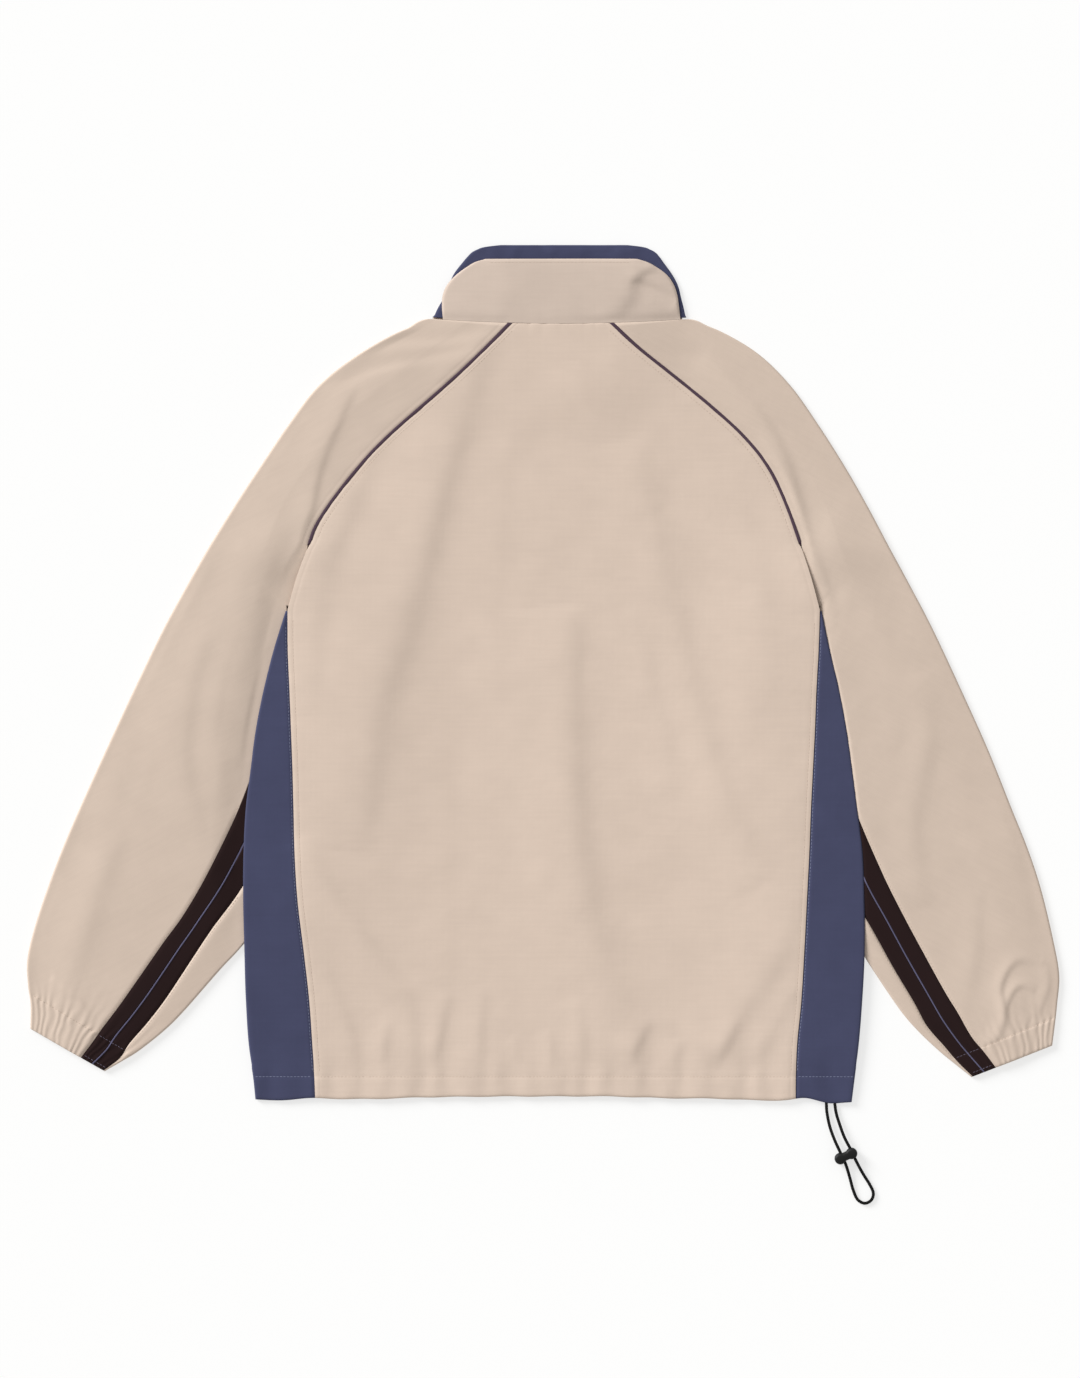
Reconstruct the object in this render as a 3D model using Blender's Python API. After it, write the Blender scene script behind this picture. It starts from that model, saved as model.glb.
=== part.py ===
"""A zipped track jacket laid flat on its front, back up, with its sleeves angled down.

Every piece of cloth is a closed wall. The surface it lies on is z = 0, +X is the right
of the laid jacket and +Y points to the collar. All lengths below are in millimetres;
MM turns them into metres where a mesh is made.
"""

import math
from collections import namedtuple

import bmesh
import bpy
import numpy as np
from mathutils import Matrix

MM = 0.001

# Driving dimensions
CLOTH = 1.4             # wall of one layer of cloth
SEAM = 0.3              # gap between pieces that are sewn together
HEM_DEPTH = 22.0        # hem casing, turned up
HEM_STITCH_Y = -371.5
CUFF_STATION = {"left": 1.6, "right": 1.25}     # sleeve station where the cuff casing ends
CUFF_GATHERS = 15       # ridges across one side of a cuff: see TOP_SPANS
GATHER_HEIGHT = 1.3
GATHER_FADE = 0.55      # how fast the gathers fade above the casing, in stations
CASING_RISE = 0.6       # a casing's doubled cloth stands this much higher
PIPING_WIDTH = 2.4      # raglan piping
PIPING_PROUD = 0.5
STRIPE_PIPING_WIDTH = 1.5
STRIPE_PIPING_PROUD = 0.35
CORD_DIAMETER = 2.5
ZIP_GAP = 10.0          # between the two front edges
MAX_GAP = 3.9           # the most free height left inside the laid jacket

# Heights over the surface
SLEEVE_GAP_HIDDEN = 0.5     # inside the sleeve where the body lies on it
SLEEVE_GAP_EDGE = 1.5       # at the sleeve's folded edges
SLEEVE_GAP_BELLY = 3.3      # at its middle
BODY_GAP_EDGE = 1.2
BODY_GAP_MIDDLE = 2.4
LAYER = 0.4                 # between cloth that lies on cloth
LIFT = 2 * CLOTH + SLEEVE_GAP_HIDDEN + LAYER    # the body rides this high over a sleeve
LIFT_RAMP = 50.0

# The laid body, from hem to underarm: folded side edges and the seams of the side panels
Body = namedtuple("Body", "y fold_left seam_left seam_right fold_right")
BODY = [
    Body(-396.0, -264.0, -209.2, 232.3, 283.2),
    Body(-368.0, -266.8, -210.2, 232.4, 287.0),
    Body(-347.0, -270.0, -211.6, 233.2, 289.8),
    Body(-301.0, -273.2, -214.8, 237.4, 293.5),
    Body(-255.0, -274.4, -219.9, 240.1, 295.6),
    Body(-209.0, -275.5, -225.4, 242.4, 295.3),
    Body(-163.0, -275.1, -228.2, 244.7, 293.5),
    Body(-126.0, -273.2, -229.1, 246.1, 288.9),
    Body(-90.0, -268.8, -230.0, 247.9, 284.4),
    Body(-53.0, -264.0, -231.4, 249.8, 279.2),
    Body(-16.0, -256.7, -232.8, 251.2, 272.3),
    Body(21.0, -247.4, -234.4, 253.2, 263.6),
    Body(57.5, -236.2, -234.6, 254.3, 255.8),
]
UNDERARM_Y = 57.5

# How far the side panels reach round onto the hidden front
FrontSeam = namedtuple("FrontSeam", "y width")
FRONT_SEAM = [
    FrontSeam(-396.0, 52.0),
    FrontSeam(-200.0, 48.0),
    FrontSeam(-90.0, 40.0),
    FrontSeam(-16.0, 28.0),
    FrontSeam(57.5, 6.0),
]

# The raglan seam as it shows on the back, from underarm to neck
Raglan = namedtuple("Raglan", "y left right")
RAGLAN = [
    Raglan(57.5, -234.6, 254.3),
    Raglan(89.7, -225.4, 245.6),
    Raglan(119.1, -214.4, 236.0),
    Raglan(131.1, -210.2, 232.0),
    Raglan(149.5, -199.4, 225.4),
    Raglan(167.9, -186.0, 217.8),
    Raglan(186.3, -171.2, 208.4),
    Raglan(204.7, -154.8, 195.4),
    Raglan(223.1, -135.8, 178.4),
    Raglan(241.5, -114.8, 158.0),
    Raglan(259.9, -93.6, 136.0),
    Raglan(278.3, -73.2, 112.8),
    Raglan(296.7, -54.0, 89.6),
    Raglan(320.5, -30.0, 63.0),
]
PIPING_END_Y = 119.0    # below this the body rolls over the sleeve and hides the piping
TUCK = 5.0              # how far the hidden seam lies inside the rolled edge
NECK_Y = 320.5
NECK_MIDDLE_X = 16.5
HEM_MIDDLE_X = 9.5

# Stations along each sleeve, cuff first. Each one is a line across the sleeve from its
# outer fold to its inner fold, which the body hides from station 7 on. The last one ends
# at the underarm. stripe_out and stripe_in are the edges of the dark stripe, as a share
# of that line.
Arm = namedtuple("Arm", "outer_x outer_y inner_x inner_y stripe_out stripe_in")
ARM_LEFT = [
    Arm(-471.4, -327.5, -403.0, -366.6, 0.68, 0.985),
    Arm(-471.2, -305.0, -385.5, -356.5, 0.67, 0.960),
    Arm(-473.6, -287.5, -370.8, -347.3, 0.665, 0.905),
    Arm(-474.3, -264.5, -347.8, -328.9, 0.665, 0.88),
    Arm(-468.3, -236.9, -329.4, -310.5, 0.67, 0.87),
    Arm(-456.3, -200.1, -297.2, -273.7, 0.67, 0.845),
    Arm(-442.5, -163.3, -276.0, -250.7, 0.675, 0.83),
    Arm(-426.9, -126.5, -242.0, -208.0, 0.655, 0.825),
    Arm(-402.0, -71.3, -210.0, -145.0, 0.65, 0.82),
    Arm(-376.3, -16.1, -197.0, -76.0, 0.67, 0.84),
    Arm(-349.6, 39.1, -205.0, -14.0, 0.72, 0.89),
    Arm(-328.0, 79.0, -218.0, 28.0, 0.83, 0.95),
    Arm(-307.0, 116.0, -230.5, 57.5, 0.93, 0.98),
]
ARM_RIGHT = [
    Arm(468.3, -343.0, 394.0, -372.0, 0.70, 0.985),
    Arm(471.0, -321.5, 378.0, -359.3, 0.71, 0.965),
    Arm(472.9, -304.0, 363.4, -347.3, 0.72, 0.94),
    Arm(474.7, -278.0, 344.1, -328.9, 0.71, 0.93),
    Arm(469.2, -246.0, 328.4, -310.5, 0.715, 0.905),
    Arm(458.2, -200.1, 306.4, -278.3, 0.72, 0.90),
    Arm(446.2, -163.3, 284.3, -244.3, 0.717, 0.89),
    Arm(431.5, -126.5, 256.0, -206.0, 0.69, 0.87),
    Arm(409.4, -71.3, 227.0, -145.0, 0.68, 0.85),
    Arm(384.6, -16.1, 215.0, -76.0, 0.69, 0.86),
    Arm(358.8, 39.1, 223.0, -14.0, 0.74, 0.90),
    Arm(338.0, 79.0, 237.0, 28.0, 0.84, 0.95),
    Arm(318.0, 116.0, 250.3, 57.5, 0.93, 0.98),
]
# The outer fold from the underarm's level to the neck, by share of the raglan seam's height
Shoulder = namedtuple("Shoulder", "share left_x left_y right_x right_y")
SHOULDER = [
    Shoulder(0.0, -307.0, 116.0, 318.0, 116.0),
    Shoulder(0.15, -283.0, 154.5, 300.0, 150.0),
    Shoulder(0.3, -259.0, 191.0, 279.0, 187.0),
    Shoulder(0.45, -234.0, 228.0, 253.0, 228.0),
    Shoulder(0.6, -207.0, 263.0, 226.5, 265.0),
    Shoulder(0.75, -172.0, 291.0, 195.5, 294.8),
    Shoulder(0.88, -137.0, 311.0, 163.0, 313.6),
    Shoulder(1.0, -104.0, 323.5, 130.6, 325.5),
]
# Where rows of points lie along a sleeve, in stations; the cuff rows carry the gathers
CUFF_ROWS = [0.0, 0.5, 0.95, 1.25, 1.6, 2.0]
ARM_ROWS = [2.4, 3.0, 3.7, 4.7, 5.8, 7.0, 8.0, 9.0, 10.0, 11.0, 12.0]

# The collar: its blue facing shows past the outer cloth at the top and the ends
Collar = namedtuple("Collar", "y facing_left back_left back_right facing_right")
COLLAR = [
    Collar(321.5, -102.2, -92.0, 126.2, 132.0),
    Collar(333.5, -97.5, -92.9, 124.9, 129.8),
    Collar(344.5, -91.3, -92.2, 123.4, 127.0),
    Collar(355.6, -86.6, -87.6, 119.8, 124.2),
    Collar(366.6, -81.9, -77.6, 111.8, 118.4),
    Collar(373.0, -77.2, -69.0, 103.0, 113.8),
    Collar(377.6, -73.4, -61.0, 94.6, 110.4),
    Collar(380.0, -71.4, -53.0, 87.0, 108.7),
    Collar(384.0, -68.0, -53.0, 87.0, 105.8),
    Collar(388.7, -61.0, -53.0, 87.0, 99.0),
    Collar(391.6, -51.5, -53.0, 87.0, 90.0),
    Collar(393.0, -39.0, -53.0, 87.0, 78.0),
]
COLLAR_BACK_TOP = 380.0
FACING_BOTTOM = 339.0       # its hidden lower edge
FRONT_NECK_Y = 264.0        # neck seam at the zip
FRONT_COLLAR_TOP = 336.0    # collar edge at the zip
COLLAR_SIDE_TOP = 366.0     # where the front's edge meets the back's at the side

# Soft folds of the back and the sleeves: a curve through three points, and its size.
# A negative height is a trough.
Fold = namedtuple("Fold", "x1 y1 x2 y2 x3 y3 width height")
BACK_FOLDS = [
    Fold(-49, 275, -95, 140, -150, -60, 30, -1.0),
    Fold(-20, 240, -60, 90, -105, -90, 30, 1.0),
    Fold(-120, 205, -170, 120, -205, 20, 24, 0.9),
    Fold(18, 60, 43, -110, 56, -300, 28, -0.9),
    Fold(75, 20, 95, -130, 110, -300, 34, 1.0),
    Fold(60, 290, 120, 200, 165, 10, 30, -1.0),
    Fold(95, 290, 165, 190, 205, -20, 26, 1.0),
    Fold(-190, -205, -135, -285, -60, -350, 22, 0.9),
    Fold(215, -330, 180, -290, 140, -240, 22, 0.9),
]
SLEEVE_FOLDS = [
    Fold(-205, 262, -150, 290, -60, 300, 12, 0.9),
    Fold(-196, 205, -212, 160, -221, 110, 13, 1.3),
    Fold(-300, 80, -262, 50, -238, 30, 14, -0.9),
    Fold(-425, -255, -395, -290, -372, -318, 13, 1.0),
    Fold(-395, -120, -360, -190, -335, -232, 22, 0.9),
    Fold(205, 262, 165, 292, 88, 303, 12, 0.9),
    Fold(285, 130, 262, 80, 268, 40, 15, 1.0),
    Fold(420, -265, 424, -300, 421, -325, 11, 1.1),
    Fold(448, -280, 447, -305, 443, -322, 10, 0.9),
    Fold(400, -110, 365, -180, 345, -222, 22, 0.9),
]
COLLAR_FOLDS = [
    Fold(90, 358, 108, 350, 128, 342, 6, 1.1),
    Fold(88, 356, 82, 340, 70, 322, 6, -0.9),
]

# The hem's lower edge, and the waves that its drawcord gathers it into: length along x,
# height and start of each
HemPoint = namedtuple("HemPoint", "x y")
HEM_LINE = [
    HemPoint(-275.0, -391.5),
    HemPoint(-255.0, -393.4),
    HemPoint(-212.0, -391.4),
    HemPoint(-178.0, -392.2),
    HemPoint(-100.0, -390.4),
    HemPoint(10.0, -389.7),
    HemPoint(70.0, -389.9),
    HemPoint(110.0, -391.3),
    HemPoint(165.0, -391.9),
    HemPoint(200.0, -393.4),
    HemPoint(225.0, -393.0),
    HemPoint(242.0, -391.4),
    HemPoint(256.0, -393.8),
    HemPoint(275.0, -395.6),
    HemPoint(292.0, -394.6),
]
Wave = namedtuple("Wave", "length height start")
HEM_WAVES = [Wave(44.6, 0.45, 0.0), Wave(73.5, 0.4, 1.3)]
HEM_EDGE_WAVE = Wave(44.6, 0.3, 0.0)
HEM_FADE = 16.0             # the waves fade out over this height above the casing

# Where the back rolls over the sleeve it bulges: height, distance from its edge and width
# of the bulge, then the level of its middle and its reach along the edge
ROLL_HEIGHT = 0.9
ROLL_INSIDE, ROLL_WIDTH = 6.0, 9.0
ROLL_Y, ROLL_REACH = 85.0, 32.0

# The drawcord: two strands leave the hem, pass the lock and meet in a loop. x, y and the
# height of the cord's middle.
CORD_ROUTE = [
    (260.4, -396.1, 2.3), (260.9, -403.5, 2.4), (263.4, -416.0, 3.4), (267.6, -428.0, 4.5),
    (272.6, -439.0, 4.8), (277.9, -450.6, 4.6), (281.8, -463.0, 2.6), (285.0, -474.5, 1.5),
    (289.2, -483.6, 1.4), (295.8, -487.0, 1.4), (301.8, -484.0, 1.4), (303.6, -477.6, 1.4),
    (300.4, -470.0, 1.5), (294.2, -460.0, 2.8), (288.2, -449.0, 4.7), (282.8, -437.6, 4.8),
    (276.8, -426.0, 4.4), (272.4, -414.0, 3.4), (269.4, -404.0, 2.4), (268.2, -396.1, 2.3),
]
CORD_POINTS = 72
LOCK_CENTRE = (278.2, -443.2, 4.75)
LOCK_LENGTH = 22.0
LOCK_LOBE = 5.3             # radius of each round end, seen from above
LOCK_WAIST = 3.9
LOCK_THICKNESS = 9.0
LOCK_TILT = 25.0            # degrees
LOCK_CLEARANCE = 0.35       # round the cord

# Zip: chain and tape, slider, and a pull that swings on the slider's bar
TAPE_WIDTH = 24.0
TAPE_THICKNESS = 0.7
CHAIN_WIDTH = 4.6
CHAIN_THICKNESS = 1.7
ZIP_TOP_Y = 330.7
ZIP_BOTTOM_Y = -388.0
SLIDER_Y = 322.2            # lower end of the slider's plates
SLIDER_LENGTH = 12.0
SLIDER_WIDTH = 9.0
PLATE = 0.8
BAR_RADIUS = 0.45
BAR_Y = 320.6
BAR_Z = 1.35
KNUCKLE_RADIUS = 1.15
PULL_LENGTH = 24.0
PULL_WIDTH = 6.0
PULL_THICKNESS = 0.9
SLIDER_LIFT = 2.8           # the cloth over the slider is raised this much
SLIDER_LIFT_Y = 316.0
SLIDER_LIFT_REACH = (50.0, 55.0)

# Moves the middle of the bounding box to the origin
CENTRE_SHIFT = (-0.19, 1.15)

BEIGE = (0.66, 0.54, 0.45)
BLUE = (0.085, 0.10, 0.19)
STRIPE = (0.022, 0.013, 0.014)
PIPING = (0.075, 0.045, 0.065)
STRIPE_PIPING = (0.09, 0.095, 0.20)
BLACK = (0.012, 0.012, 0.012)
METAL = (0.35, 0.35, 0.36)


# ---------------------------------------------------------------- curves and fields

def column(rows, name):
    return np.array([getattr(row, name) for row in rows], float)


def smooth_curve(keys, values, at):
    """Points at `at` on a smooth curve through values given at rising keys."""
    keys, values = np.asarray(keys, float), np.asarray(values, float)
    at = np.clip(np.asarray(at, float), keys[0], keys[-1])
    slopes = np.gradient(values, keys, axis=0)
    i = np.clip(np.searchsorted(keys, at, side="right") - 1, 0, len(keys) - 2)
    step = keys[i + 1] - keys[i]
    t = (at - keys[i]) / step
    if values.ndim > 1:
        t, step = t[..., None], step[..., None]
    return (
        (1 + 2 * t) * (1 - t) ** 2 * values[i]
        + t * (1 - t) ** 2 * step * slopes[i]
        + t * t * (3 - 2 * t) * values[i + 1]
        + t * t * (t - 1) * step * slopes[i + 1]
    )


def ease(t):
    """0 below 0, 1 above 1, and smooth between."""
    t = np.clip(t, 0.0, 1.0)
    return t * t * (3 - 2 * t)


def distance_to_line(x, y, line):
    """How far points are from a polyline, in plan, and where along it, 0 to 1."""
    points = np.stack([np.ravel(x), np.ravel(y)], axis=1)[:, None, :]
    start, step = line[:-1][None], np.diff(line, axis=0)[None]
    share = np.clip(((points - start) * step).sum(2) / (step**2).sum(2), 0, 1)
    away = np.linalg.norm(points - start - share[..., None] * step, axis=2)
    nearest = away.argmin(1)
    picked = np.arange(len(nearest))
    along = (nearest + share[picked, nearest]) / step.shape[1]
    return away[picked, nearest].reshape(np.shape(x)), along.reshape(np.shape(x))


def fold_height(x, y, folds):
    """Sum of soft ridges and troughs, each fading out at its ends."""
    x, y = np.asarray(x, float), np.asarray(y, float)
    total = np.zeros(np.shape(x))
    for fold in folds:
        ends = np.array([(fold.x1, fold.y1), (fold.x2, fold.y2), (fold.x3, fold.y3)], float)
        line = smooth_curve([0, 1, 2], ends, np.linspace(0, 2, 9))
        away, along = distance_to_line(x, y, line)
        total = total + fold.height * np.exp(-((away / fold.width) ** 2)) * np.sin(math.pi * along) ** 0.7
    return total


ARMS = {"left": ARM_LEFT, "right": ARM_RIGHT}
OUTWARD = {"left": -1.0, "right": 1.0}


def inner_fold_line(side):
    rows = ARMS[side]
    ends = np.stack([column(rows, "inner_x"), column(rows, "inner_y")], axis=1)
    return smooth_curve(np.arange(len(rows)), ends, np.linspace(0, len(rows) - 1, 61))


INNER_FOLD = {side: inner_fold_line(side) for side in ARMS}


def lift(x, y):
    """Height of the laid front's outer face: it rides over the sleeves that lie beneath it."""
    x, y = np.asarray(x, float), np.asarray(y, float)
    height = np.zeros(np.shape(x))
    for side, line in INNER_FOLD.items():
        away, _ = distance_to_line(x, y, line)
        fold_x = np.interp(y, line[:, 1], line[:, 0])
        over = (OUTWARD[side] * (x - fold_x) > 0) & (y < UNDERARM_Y) & (y > line[0, 1])
        away = np.where(over, 0.0, away)
        height = np.maximum(height, LIFT * (1 - ease((away - 4.0) / LIFT_RAMP)))
    return height


def slider_lift(x, y):
    """The slider and its pull lie under the collar and raise the cloth a little."""
    reach = np.hypot(
        (np.asarray(x) - NECK_MIDDLE_X) / SLIDER_LIFT_REACH[1],
        (np.asarray(y) - SLIDER_LIFT_Y) / SLIDER_LIFT_REACH[0],
    )
    return SLIDER_LIFT * (1 - ease((reach - 0.42) / 0.58))


def front_under(x, y):
    """The outer face of the front, which faces the surface."""
    return lift(x, y) + slider_lift(x, y)


def fold_x(y, side):
    return smooth_curve(column(BODY, "y"), column(BODY, "fold_" + side), y)


def seam_x(y, side):
    return smooth_curve(column(BODY, "y"), column(BODY, "seam_" + side), y)


def raglan_x(y, side, away=0.0):
    """The raglan seam's x at y, moved away from the body's middle by a true distance."""
    keys, values = column(RAGLAN, "y"), column(RAGLAN, side)
    slope = np.interp(y, keys, np.gradient(values, keys))
    return smooth_curve(keys, values, y) + OUTWARD[side] * away * np.sqrt(1 + slope**2)


def sleeve_seam_x(y, side, away=0.0):
    """The seam itself, which is tucked under the body's rolled edge below the piping."""
    tuck = TUCK * ease((PIPING_END_Y - 4 - np.asarray(y, float)) / 30)
    return raglan_x(y, side, away) - OUTWARD[side] * tuck


def middle_x(y):
    return np.interp(y, [BODY[0].y, NECK_Y], [HEM_MIDDLE_X, NECK_MIDDLE_X])


def neck_y(x):
    return NECK_Y + 4.5 * ((np.asarray(x) - NECK_MIDDLE_X) / 117.0) ** 2


def body_gap(x, y):
    """Free height between front and back, smaller at the folded sides."""
    x, y = np.asarray(x, float), np.asarray(y, float)
    inside = np.minimum(x - fold_x(y, "left"), fold_x(y, "right") - x)
    closed = (1 - ease(inside / 70)) * ease((100 - y) / 70)
    return BODY_GAP_MIDDLE - (BODY_GAP_MIDDLE - BODY_GAP_EDGE) * closed


def rolled_edge(x, y):
    """The back bulges a little where it rolls over the sleeve."""
    edge = np.minimum(
        np.abs(x - raglan_x(y, "left")), np.abs(x - raglan_x(y, "right"))
    )
    along = np.exp(-((np.asarray(y) - ROLL_Y) / ROLL_REACH) ** 2)
    return ROLL_HEIGHT * np.exp(-((edge - ROLL_INSIDE) / ROLL_WIDTH) ** 2) * along


def wave_height(x, wave):
    return wave.height * np.sin(math.tau * np.asarray(x) / wave.length + wave.start)


def hem_gather(x, y):
    """Small waves of the drawn hem, which fade out above the casing."""
    reach = np.exp(-np.maximum(np.asarray(y) - HEM_STITCH_Y, 0) / HEM_FADE)
    waves = sum(wave_height(x, wave) for wave in HEM_WAVES)
    return waves * reach + CASING_RISE * ease((HEM_STITCH_Y + 2 - np.asarray(y)) / 4)


def hem_y(x):
    """The hem's lower edge, a little lower at the sides."""
    edge = smooth_curve(column(HEM_LINE, "x"), column(HEM_LINE, "y"), x)
    return edge + wave_height(x, HEM_EDGE_WAVE)


def back_top(x, y):
    folds = fold_height(x, y, BACK_FOLDS) * ease((np.asarray(y) + 372) / 30)
    return (
        front_under(x, y) + 2 * CLOTH + body_gap(x, y) + folds + rolled_edge(x, y) + hem_gather(x, y)
    )


def back_inside(x, y):
    """The back's hidden face: it follows the top, but never leaves more than the free height."""
    most = front_under(x, y) + CLOTH + MAX_GAP
    least = front_under(x, y) + CLOTH + LAYER
    return np.clip(back_top(x, y) - CLOTH, least, most)


# ---------------------------------------------------------------- making solids

ROOT = None


def material(name, colour, roughness, metallic=0.0):
    made = bpy.data.materials.new(name)
    made.use_nodes = True
    shader = made.node_tree.nodes["Principled BSDF"]
    shader.inputs["Base Color"].default_value = (*colour, 1.0)
    shader.inputs["Roughness"].default_value = roughness
    shader.inputs["Metallic"].default_value = metallic
    made.diffuse_color = (*colour, 1.0)
    return made


def add_object(name, mesh, colour, roughness=0.85, metallic=0.0):
    mesh.materials.append(material(name, colour, roughness, metallic))
    obj = bpy.data.objects.new(name, mesh)
    bpy.context.collection.objects.link(obj)
    obj.parent = ROOT
    return obj


def span_faces(low, high):
    """Faces between two rows of indices, where the lower row may have twice the spans."""
    if len(low) == len(high):
        return [(low[i], low[i + 1], high[i + 1], high[i]) for i in range(len(low) - 1)]
    faces = []
    for i in range(len(high) - 1):
        a, b, c = low[2 * i], low[2 * i + 1], low[2 * i + 2]
        faces += [(a, b, high[i]), (b, high[i + 1], high[i]), (b, c, high[i + 1])]
    return faces


def wall(name, patches, colour, roughness=0.85):
    """A closed wall from patches of points. A patch is a list of rows, and a row is a pair of
    arrays, its outer and its inner points. Patches that share points become one sheet, and
    every free edge of the sheet gets a face across the wall."""
    index_of, pairs, faces = {}, [], []

    def index(outer, inner):
        key = tuple(np.round(outer, 4))
        if key not in index_of:
            index_of[key] = len(pairs)
            pairs.append((outer, inner))
        return index_of[key]

    for patch in patches:
        rows = [[index(*pair) for pair in zip(*row)] for row in patch]
        for low, high in zip(rows, rows[1:]):
            faces += span_faces(low, high)
    edges = {(face[i - 1], face[i]) for face in faces for i in range(len(face))}
    free = [edge for edge in edges if edge[::-1] not in edges]

    bm = bmesh.new()
    outer = [bm.verts.new(pair[0] * MM) for pair in pairs]
    inner = [bm.verts.new(pair[1] * MM) for pair in pairs]
    for face in faces:
        bm.faces.new([outer[i] for i in face])
        bm.faces.new([inner[i] for i in reversed(face)])
    for a, b in sorted(free):
        bm.faces.new((outer[b], outer[a], inner[a], inner[b]))
    bmesh.ops.triangulate(bm, faces=[face for face in bm.faces if len(face.verts) > 3])
    if bm.calc_volume(signed=True) < 0:
        bmesh.ops.reverse_faces(bm, faces=bm.faces)
    mesh = bpy.data.meshes.new(name)
    bm.to_mesh(mesh)
    bm.free()
    mesh.shade_smooth()
    mesh.set_sharp_from_angle(angle=math.radians(40))
    return add_object(name, mesh, colour, roughness)


def row_of(x, y, outer_z, inner_z):
    """One row of a wall whose outer and inner points lie over each other."""
    return np.column_stack([x, y, outer_z]), np.column_stack([x, y, inner_z])


# ---------------------------------------------------------------- body

# Rows of points, shared by all pieces that meet at a seam so that their edges match
BODY_LEVELS = [-335.0, -298.0, -260.0, -222.0, -184.0, -146.0, -108.0, -72.0, -38.0, -8.0, 18.0, 40.0]
RAGLAN_LEVELS = np.concatenate([
    np.linspace(UNDERARM_Y, PIPING_END_Y, 4), np.linspace(PIPING_END_Y, NECK_Y - SEAM, 10)[1:]
])
HEM_ROWS = [0.0, 0.12, 0.5, 0.86, 1.0, 1.3]     # in casing depths above the edge
HEM_LEVEL = -391.0
BACK_COLUMNS = 24


def back_edge_x(y, side):
    """The back panel's edge: side seam, then rolled edge, then raglan seam beside the piping."""
    if y <= UNDERARM_Y:
        return float(seam_x(y, side)) - OUTWARD[side] * SEAM / 2
    beside = (PIPING_WIDTH / 2 + SEAM) * ease((y - PIPING_END_Y + 6) / 6)
    return float(raglan_x(y, side, -beside))


def back_panel():
    rows = []

    def add(x, y):
        rows.append(row_of(x, y, back_top(x, y), back_inside(x, y)))

    def across(y, spans):
        return np.linspace(back_edge_x(y, "left"), back_edge_x(y, "right"), spans + 1)

    for share in HEM_ROWS:
        x = across(HEM_LEVEL + share * HEM_DEPTH, 2 * BACK_COLUMNS)
        add(x, hem_y(x) + share * (HEM_STITCH_Y - hem_y(x)))
    for y in BODY_LEVELS + list(RAGLAN_LEVELS):
        x = across(y, BACK_COLUMNS)
        level = np.full(len(x), y)
        if y == RAGLAN_LEVELS[-1]:
            level = neck_y(x) - SEAM
        add(x, level)
    wall("back_panel", [rows], BEIGE)


SIDE_TOP_SHARES = [1.0, 0.62, 0.28, 0.07, 0.0]      # from the back seam to the fold
SIDE_UNDER_SHARES = [0.035, 0.13, 0.5, 1.0]         # from the fold to the front seam


def folded_edge(depth, radius):
    """Cosine and sine of a point's angle round a folded edge, from its depth behind the edge.
    Past the radius the cloth is flat: (0, 1)."""
    cosine = np.clip(1 - depth / radius, 0, 1)
    return cosine, np.sqrt(1 - cosine**2)


def side_panel(side):
    rows = []
    levels = [HEM_LEVEL + share * HEM_DEPTH for share in HEM_ROWS] + BODY_LEVELS
    levels.append(UNDERARM_Y - 3)
    out = OUTWARD[side]
    for index, y in enumerate(levels):
        edge = float(fold_x(y, side))
        back_depth = out * (edge - float(seam_x(y, side))) - SEAM / 2
        front_depth = out * (edge - front_seam_x(y, side)) - SEAM / 2
        depth = [share * back_depth for share in SIDE_TOP_SHARES]
        depth = np.array(depth + [share * front_depth for share in SIDE_UNDER_SHARES])
        on_back = np.arange(len(depth)) < len(SIDE_TOP_SHARES)
        x = edge - out * depth
        at_y = np.full(len(x), y)
        if index < len(HEM_ROWS):
            at_y = hem_y(x) + HEM_ROWS[index] * (HEM_STITCH_Y - hem_y(x))
        radius = CLOTH + body_gap(edge, y) / 2
        cosine, sine = folded_edge(depth, radius)
        middle = front_under(x, at_y) + radius
        back_z = middle + (back_top(x, at_y) - middle) * sine
        back_inner_z = middle + (back_inside(x, at_y) - middle) * sine
        outer_z = np.where(on_back, back_z, middle - radius * sine)
        inner_z = np.where(on_back, back_inner_z, middle - (radius - CLOTH) * sine)
        outer = np.column_stack([x, at_y, outer_z])
        rows.append((outer, np.column_stack([x - out * CLOTH * cosine, at_y, inner_z])))
    wall("side_panel_" + side, [rows], BLUE)


FRONT_COLUMNS = 8
NECKLINE_SIDE_Y = 283.0     # where the front raglan seam meets the neck seam


def front_seam_x(y, side):
    """The seam between side panel and front, on the hidden side."""
    width = smooth_curve(column(FRONT_SEAM, "y"), column(FRONT_SEAM, "width"), y)
    return float(fold_x(y, side) - OUTWARD[side] * width)


def front_level(level):
    """The front raglan seam ends lower than the back's: the same rows, closer together."""
    share = (level - UNDERARM_Y) / (RAGLAN_LEVELS[-1] - UNDERARM_Y)
    return UNDERARM_Y + (NECKLINE_SIDE_Y - UNDERARM_Y) * share


def front_side_x(y, side):
    """The front's outer edge: side panel seam, then raglan seam."""
    if y < UNDERARM_Y:
        return front_seam_x(y, side) - OUTWARD[side] * SEAM / 2
    return float(sleeve_seam_x(y, side, -SEAM))


def front_neckline(share, side):
    """The front neck seam, from the raglan seam at 0 to the zip at 1."""
    start_x = float(sleeve_seam_x(NECKLINE_SIDE_Y, side, -SEAM))
    end_x = NECK_MIDDLE_X + OUTWARD[side] * ZIP_GAP / 2
    x = start_x + (end_x - start_x) * share
    y = FRONT_NECK_Y + (NECKLINE_SIDE_Y - FRONT_NECK_Y) * (1 - share) ** 2
    return x, y


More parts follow.
